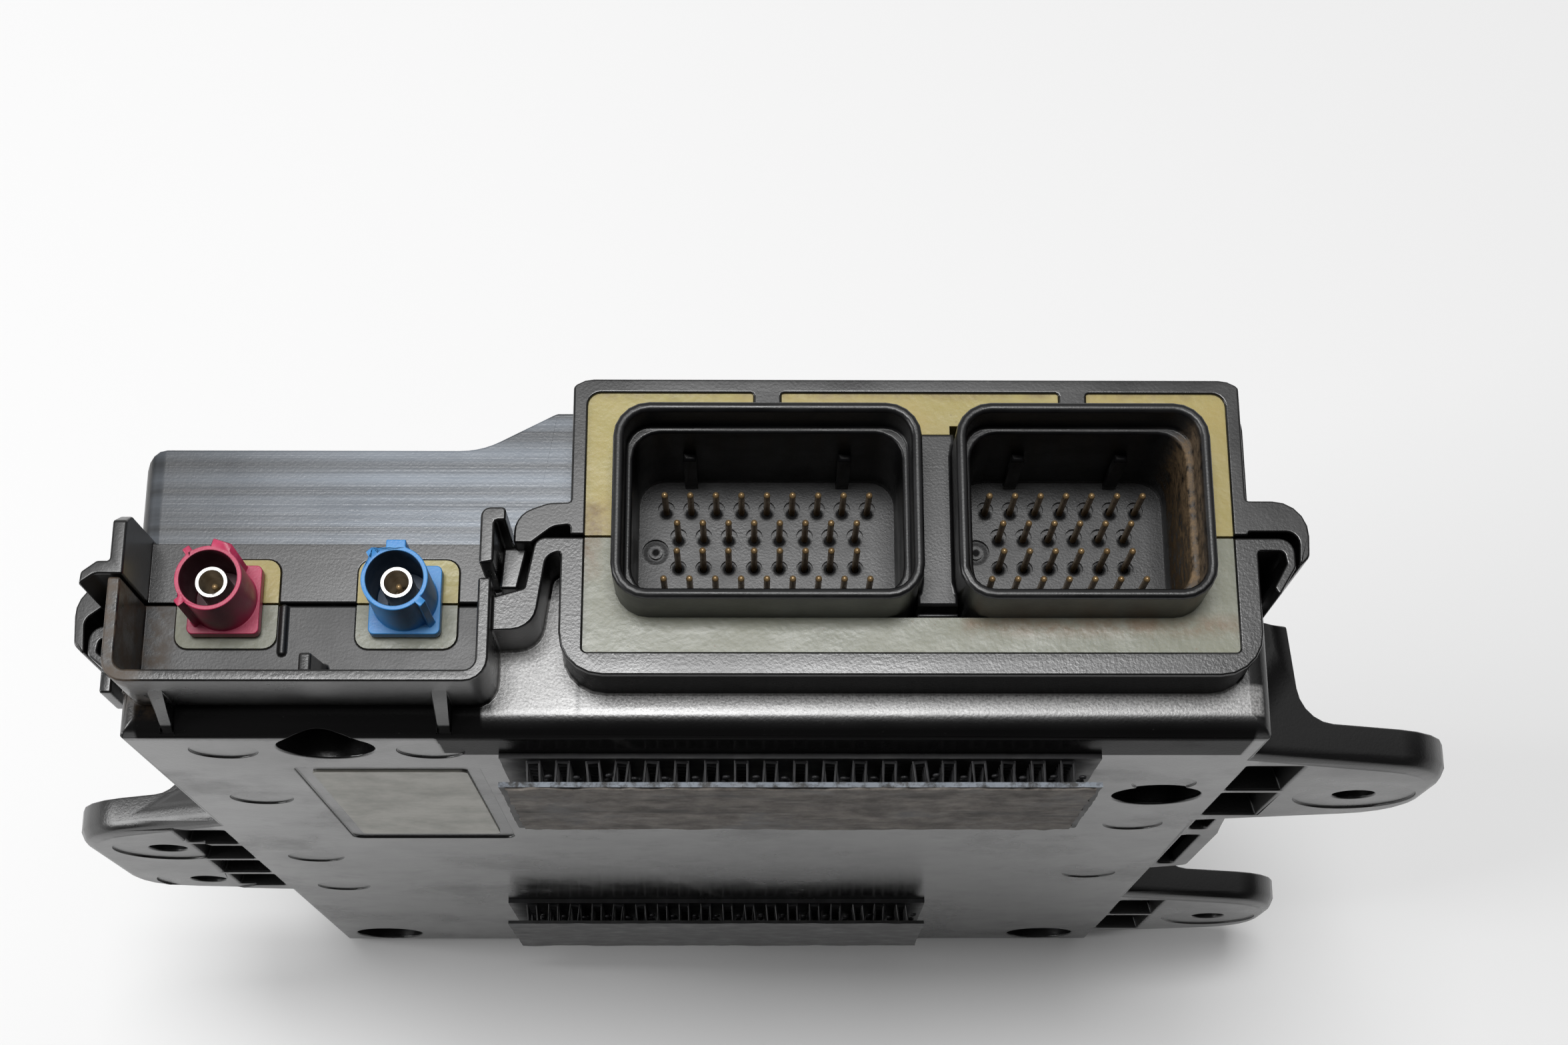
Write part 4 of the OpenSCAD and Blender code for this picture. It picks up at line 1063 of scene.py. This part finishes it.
@dataclass
class MouldedPiece(Maker):
    """CAD node shown as a copy with small rounded edges, as it leaves its mould."""

    slot: str
    finish: Finish
    edge: float = 0.3
    steps: int = 2
    above: float = -1.0
    sharp: float = 34.0

    @staticmethod
    def room(edge: bmesh.types.BMEdge) -> float:
        """Tells how far an edge can be cut back on both its faces.

        Args:
            edge: an edge between two faces.

        Returns:
            The smaller free width in metres.
        """
        widths = []
        along = (edge.verts[1].co - edge.verts[0].co).normalized()
        for face in edge.link_faces:
            if len(face.verts) > SIMPLE_CORNERS:
                widths.append(2.0 * face.calc_area() / face.calc_perimeter())
                continue
            gaps = [v.co - edge.verts[0].co for v in face.verts]
            widths.append(max((g - along * g.dot(along)).length for g in gaps))
        return ROOM_SHARE * min(widths)

    def weigh(self, work: bmesh.types.BMesh) -> None:
        """Gives each run of sharp edges the bevel weight that its narrowest place allows.

        Args:
            work: the mesh, which gets the weights.
        """
        weight = work.edges.layers.float.new("bevel_weight_edge")
        width = self.edge * MM
        turned = [e for e in work.edges if e.is_manifold and e.calc_face_angle() > math.radians(self.sharp)]
        bent = {e for e in turned if min(v.co.z for v in e.verts) > self.above * MM}
        share = {e: min(1.0, self.room(e) / width) for e in bent}
        for vert in work.verts:
            run = [e for e in vert.link_edges if e in bent]
            spare = [e.calc_length() for e in vert.link_edges if e not in bent]
            for edge in run:
                tight = edge.calc_length() / 2 if len(run) > 2 else width
                share[edge] = min(share[edge], SPARE_SHARE * min([tight, *spare]) / width)
        todo = set(bent)
        while todo:
            edge = todo.pop()
            for vert in edge.verts:
                run = [e for e in vert.link_edges if e in bent]
                if len(run) == 2:
                    other = run[0] if run[1] is edge else run[1]
                    if share[other] > share[edge] + 1e-6:
                        share[other] = share[edge]
                        todo.add(other)
        for edge in turned:
            edge.smooth = share.get(edge, 0.0) > LEAST_SHARE
            edge[weight] = share[edge] if edge.smooth else 0.0

    def build(self) -> bpy.types.Object:
        """Copies the node, joins its triangles into faces and rounds its edges.

        Returns:
            The finished piece.
        """
        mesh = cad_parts[self.node].data.copy()
        work = bmesh.new()
        work.from_mesh(mesh)
        bmesh.ops.remove_doubles(work, verts=work.verts, dist=2e-6)
        bmesh.ops.dissolve_limit(work, angle_limit=math.radians(0.8), verts=work.verts, edges=work.edges,
                                 delimit=set())
        self.weigh(work)
        for face in work.faces:
            face.smooth = True
        work.to_mesh(mesh)
        work.free()
        piece = add_object(self.node + "_moulded", mesh)
        rounding = piece.modifiers.new("edges", "BEVEL")
        rounding.width = self.edge * MM
        rounding.segments = self.steps
        rounding.limit_method = "WEIGHT"
        rounding.use_clamp_overlap = False
        rounding.miter_outer = "MITER_ARC"
        faces = piece.modifiers.new("faces", "WEIGHTED_NORMAL")
        faces.mode = "FACE_AREA"
        faces.weight = 100
        faces.keep_sharp = True
        applied(piece)
        piece.data.materials.clear()
        piece.data.materials.append(self.finish.material())
        return finish_piece(piece, self.slot, self.node)


@dataclass
class DressedNode(Maker):
    """CAD node that keeps its mesh and gets its finish."""

    finish: Finish

    def build(self) -> bpy.types.Object:
        """Assigns the finish to the node.

        Returns:
            The CAD object.
        """
        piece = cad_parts[self.node]
        material = self.finish.material()
        for slot in piece.material_slots:
            slot.material = material
        LOG.info("%s: dressed", self.node)
        return piece


@dataclass
class Studio:
    """Pale floor, soft lights and the camera at the photograph's place."""

    camera_mm: Point = (6.508, -80.139, 421.504)
    camera_turn: Point = (18.274, -0.714, -0.135)
    focal_px: float = 3500.0
    frame_px: float = 2352.0
    sensor_mm: float = 36.0
    floor_size: float = 6.0
    floor_colour: Colour = (0.90, 0.90, 0.90)
    sky: Colour = (1.0, 1.0, 1.0)
    dusk: Colour = (0.02, 0.02, 0.021)
    paper: Colour = (0.92, 0.92, 0.92)
    sky_strength: float = 0.42
    sky_stops: tuple[float, float] = (0.3, 1.0)

    def build(self) -> None:
        """Makes the stage."""
        self.build_floor()
        self.build_world()
        self.build_lamps()
        self.build_camera()
        bpy.context.scene.view_settings.view_transform = "Standard"

    def build_floor(self) -> None:
        """Makes the pale floor that the unit stands on."""
        half = self.floor_size / 2
        mesh = bpy.data.meshes.new("floor")
        corners = [(-half, -half, 0), (half, -half, 0), (half, half, 0), (-half, half, 0)]
        mesh.from_pydata(corners, [], [(0, 1, 2, 3)])
        floor = add_object("floor", mesh)
        sheet = Sheet("floor_paper")
        tone = sheet.noise(3.0, 2.0)
        faint = tuple(0.985 * c for c in self.floor_colour)
        colour = sheet.mix(sheet.remap(tone, 0.3, 0.7), self.floor_colour, faint)
        mesh.materials.append(sheet.set(Base_Color=colour, Roughness=0.9))

    def build_world(self) -> None:
        """Makes a sky that is bright above and behind and dark low in front; the camera sees plain white."""
        world = bpy.data.worlds.new("studio")
        bpy.context.scene.world = world
        world.use_nodes = True
        sky = Nodes(world.node_tree)
        toward = sky.node("ShaderNodeTexCoord").outputs["Generated"]
        split = sky.node("ShaderNodeSeparateXYZ", Vector=toward)
        ramp = sky.node("ShaderNodeValToRGB", Fac=sky.plus(split.outputs["Y"], split.outputs["Z"]))
        ramp.color_ramp.interpolation = "EASE"
        for stop, place, colour in zip(ramp.color_ramp.elements, self.sky_stops, (self.dusk, self.sky)):
            stop.position = place
            stop.color = (*colour, 1.0)
        ground = sky.tree.nodes["Background"]
        feed(ground.inputs["Color"], ramp.outputs["Color"])
        feed(ground.inputs["Strength"], self.sky_strength)
        paper = sky.node("ShaderNodeBackground", Color=(*self.paper, 1.0))
        seen = sky.node("ShaderNodeMixShader", Fac=sky.node("ShaderNodeLightPath").outputs["Is Camera Ray"])
        for target, source in zip(seen.inputs[1:], (ground, paper)):
            feed(target, source.outputs["Background"])
        feed(sky.tree.nodes["World Output"].inputs["Surface"], seen.outputs["Shader"])

    def build_lamps(self) -> None:
        """Hangs two softboxes: one above and behind the unit, one at the left."""
        self.lamp("top_box", (-0.04, 0.12, 1.36), (-5.5, -2.0, 0.0), 0.5, 0.28, 11.5)
        self.lamp("left_box", (-0.95, -0.1, 0.5), (4.0, -69.0, 0.0), 0.5, 0.4, 5.0)

    def lamp(self, name: str, place: Point, turn: Point, width: float, height: float, power: float) -> None:
        """Adds an area lamp.

        Args:
            name: the lamp's name.
            place: position in metres.
            turn: Euler angles in degrees.
            width: size across, in metres.
            height: size along, in metres.
            power: watts.
        """
        light = bpy.data.lights.new(name, "AREA")
        light.shape = "RECTANGLE"
        light.size = width
        light.size_y = height
        light.energy = power
        made = bpy.data.objects.new(name, light)
        made.location = place
        made.rotation_euler = [math.radians(a) for a in turn]
        bpy.context.scene.collection.objects.link(made)

    def build_camera(self) -> None:
        """Places the camera that was fitted to the contact pins."""
        camera = bpy.data.cameras.new("camera")
        camera.sensor_fit = "HORIZONTAL"
        camera.sensor_width = self.sensor_mm
        camera.lens = self.focal_px / self.frame_px * self.sensor_mm
        camera.clip_start = 0.01
        made = bpy.data.objects.new("camera", camera)
        made.location = Vector(self.camera_mm) * MM
        made.rotation_euler = [math.radians(a) for a in self.camera_turn]
        bpy.context.scene.collection.objects.link(made)
        bpy.context.scene.camera = made


class ControlUnit:
    """All the unit's pieces with their finishes."""

    def build(self) -> None:
        """Makes every piece in turn."""
        for maker in self.housing() + self.connectors() + self.label_side() + self.inner_parts():
            maker.build()

    def housing(self) -> list[Maker]:
        """Returns the makers of both housing mouldings and the seal."""
        bay_corner = ((-66.5, -17.0, 161.0), (-60.5, -3.0, 175.0))
        bay_floor = ((-66.0, -16.0, 161.0), (-24.0, 4.0, 166.0))
        front_wall = ((-13.4, -17.5, 161.5), (65.2, -14.0, 162.5))
        wall_by_bay = ((-23.4, -17.5, 161.5), (-13.8, -4.0, 162.5))
        frame_side = ((-16.5, -16.6, 162.6), (66.0, -12.0, 170.4))
        face_edge = ((-30.0, -20.6, 152.0), (64.0, -17.6, 161.4))
        bay_edge = ((-64.0, -20.6, 160.0), (-24.6, -16.4, 162.6))
        label_face = ((-67.0, -20.5, -1.0), (67.0, -19.5, 160.0))
        cover_front = ((-70.0, 3.2, 159.4), (-14.6, 21.0, 160.6))
        # The front wall and the wall by the bay get a painted sheen.
        base = MouldedBlack("housing_base_black", dusty=(bay_corner,), dull=(bay_floor,),
                            bright=(front_wall, wall_by_bay), deep=(frame_side, face_edge, bay_edge),
                            rubbed=label_face)
        # The cover's front gets a painted bluish reflection over real drag marks.
        cover = MouldedBlack("housing_cover_black", grain=0.35, streaks_and_painted_reflection=cover_front)
        return [MouldedPiece("lower_shell", "housing_base", base),
                MouldedPiece("upper_shell", "housing_cover", cover),
                DressedNode("housing_seal", PlainSolid("seal_cord", (0.08, 0.085, 0.09), 0.7))]

    def connectors(self) -> list[Maker]:
        """Returns the makers of the pin headers, the coax plugs and their potting."""
        dusty_wall = ((54.4, -6.0, 160.0), (56.5, 12.0, 177.6))
        large_walls = ((-8.2, -7.2, 157.3), (24.0, 13.2, 173.4))
        small_walls = ((30.0, -7.2, 157.3), (56.2, 13.2, 173.4))
        header = SatinBlack("header_black", dusty=(dusty_wall,), sockets=((-4.05, 9), (34.1, 7)),
                            deep=(large_walls, small_walls), marks=((-5.25, 3.6), (32.9, 3.6)))
        gold = PlatedMetal("contact_gold", (0.40, 0.27, 0.13), (0.24, 0.15, 0.07), 0.26, 0.5)
        silver = PlatedMetal("tube_silver", (0.66, 0.65, 0.62), (0.48, 0.46, 0.42), 0.3)
        bead = PlainSolid("bead_tan", (0.34, 0.25, 0.15), 0.6)
        seam_upper = ((-13.5, 0.0, 168.0), (-10.2, 5.0, 172.0))
        top_edge = ((-13.5, 17.9, 168.0), (61.5, 19.0, 172.0))
        seam_lower = ((-13.5, -4.0, 168.0), (-11.0, 1.2, 172.0))
        low_edge = ((30.0, -10.5, 168.0), (61.0, -8.4, 172.0))
        yellow = Potting("potting_yellow", (0.35, 0.305, 0.112), (0.385, 0.30, 0.096),
                         soiled=(seam_upper, top_edge))
        grey = Potting("potting_grey", (0.215, 0.222, 0.178), (0.185, 0.187, 0.13),
                       soiled=(seam_lower, low_edge))
        makers: list[Maker] = [MouldedPiece("connector_block", "header_plastic", header, 0.6, 3, above=166.0),
                               PinHeader("large_header_pins", 7.95, 9, gold),
                               PinHeader("small_header_pins", 43.1, 7, gold)]
        for side, colour, scuff in (("red", (0.42, 0.028, 0.085), (0.50, 0.06, 0.13)),
                                    ("blue", (0.035, 0.22, 0.55), (0.07, 0.30, 0.62))):
            low, high = node_box(f"{side}_plug_insulator")
            axis = ((low[0] + high[0]) / 2, (low[1] + high[1]) / 2)
            plastic = PlugPlastic(f"plug_{side}_plastic", colour, scuff, axis)
            makers += [MouldedPiece(f"{side}_plug_shroud", f"plug_{side}", plastic, 0.14),
                       MouldedPiece(f"{side}_plug_tube", "plug_metal", silver, 0.08),
                       DressedNode(f"{side}_plug_insulator", bead), DressedNode(f"{side}_plug_pin", gold),
                       DressedNode(f"{side}_potting_upper", yellow), DressedNode(f"{side}_potting_lower", grey)]
        makers += [DressedNode("header_potting_upper", yellow), DressedNode("header_potting_lower", grey)]
        return makers

    def label_side(self) -> list[Maker]:
        """Returns the makers of the label, the screws and the fastener strips."""
        # The front cover tape gets a painted glint along its front edge.
        tape = TapeBlack("tape_black", painted_glint_height=152.9)
        stems = TapeBlack("stem_black", colour=(0.012, 0.012, 0.013), roughness=0.4, sheen=0.4)
        return [DressedNode("blank_label", LabelFilm("label_film")),
                DressedNode("housing_screws", PlainSolid("screw_zinc", (0.16, 0.16, 0.165), 0.42, 1.0)),
                StripBase("front_strip_base", (12.0, 140.2), 71.0, stems, 3),
                RaggedLayer("front_strip_cover", "strip_black", tape, 5, 0.25),
                RaggedLayer("front_strip_foam", "strip_foam", DustyFoam("strip_foam_dust"), 8, 0.9, 0.25),
                StripBase("rear_strip_base", (0.5, 33.5), 67.0, stems, 11),
                RaggedLayer("rear_strip_cover", "strip_black", TapeBlack("rear_tape_black"), 13, 0.3, 0.2)]

    def inner_parts(self) -> list[Maker]:
        """Returns the makers of the circuit board and what is on it."""
        looks = (("circuit_board", "solder_mask", (0.03, 0.16, 0.07), 0.35, 0.0),
                 ("radio_shield", "shield_tin", (0.62, 0.63, 0.64), 0.35, 1.0),
                 ("processor_chip", "chip_resin", (0.02, 0.02, 0.022), 0.55, 0.0),
                 ("memory_chip", "chip_resin", (0.02, 0.02, 0.022), 0.55, 0.0),
                 ("power_inductor", "ferrite", (0.05, 0.05, 0.055), 0.6, 0.0),
                 ("capacitors", "can_aluminium", (0.68, 0.69, 0.70), 0.3, 1.0),
                 ("board_screws", "board_screw_zinc", (0.6, 0.61, 0.62), 0.3, 1.0))
        return [DressedNode(node, PlainSolid(*look)) for node, *look in looks]


def main() -> None:
    """Builds the stage and the unit."""
    logging.basicConfig(level=logging.INFO, format="%(name)s: %(message)s")
    Studio().build()
    ControlUnit().build()


if __name__ == "__main__":
    main()
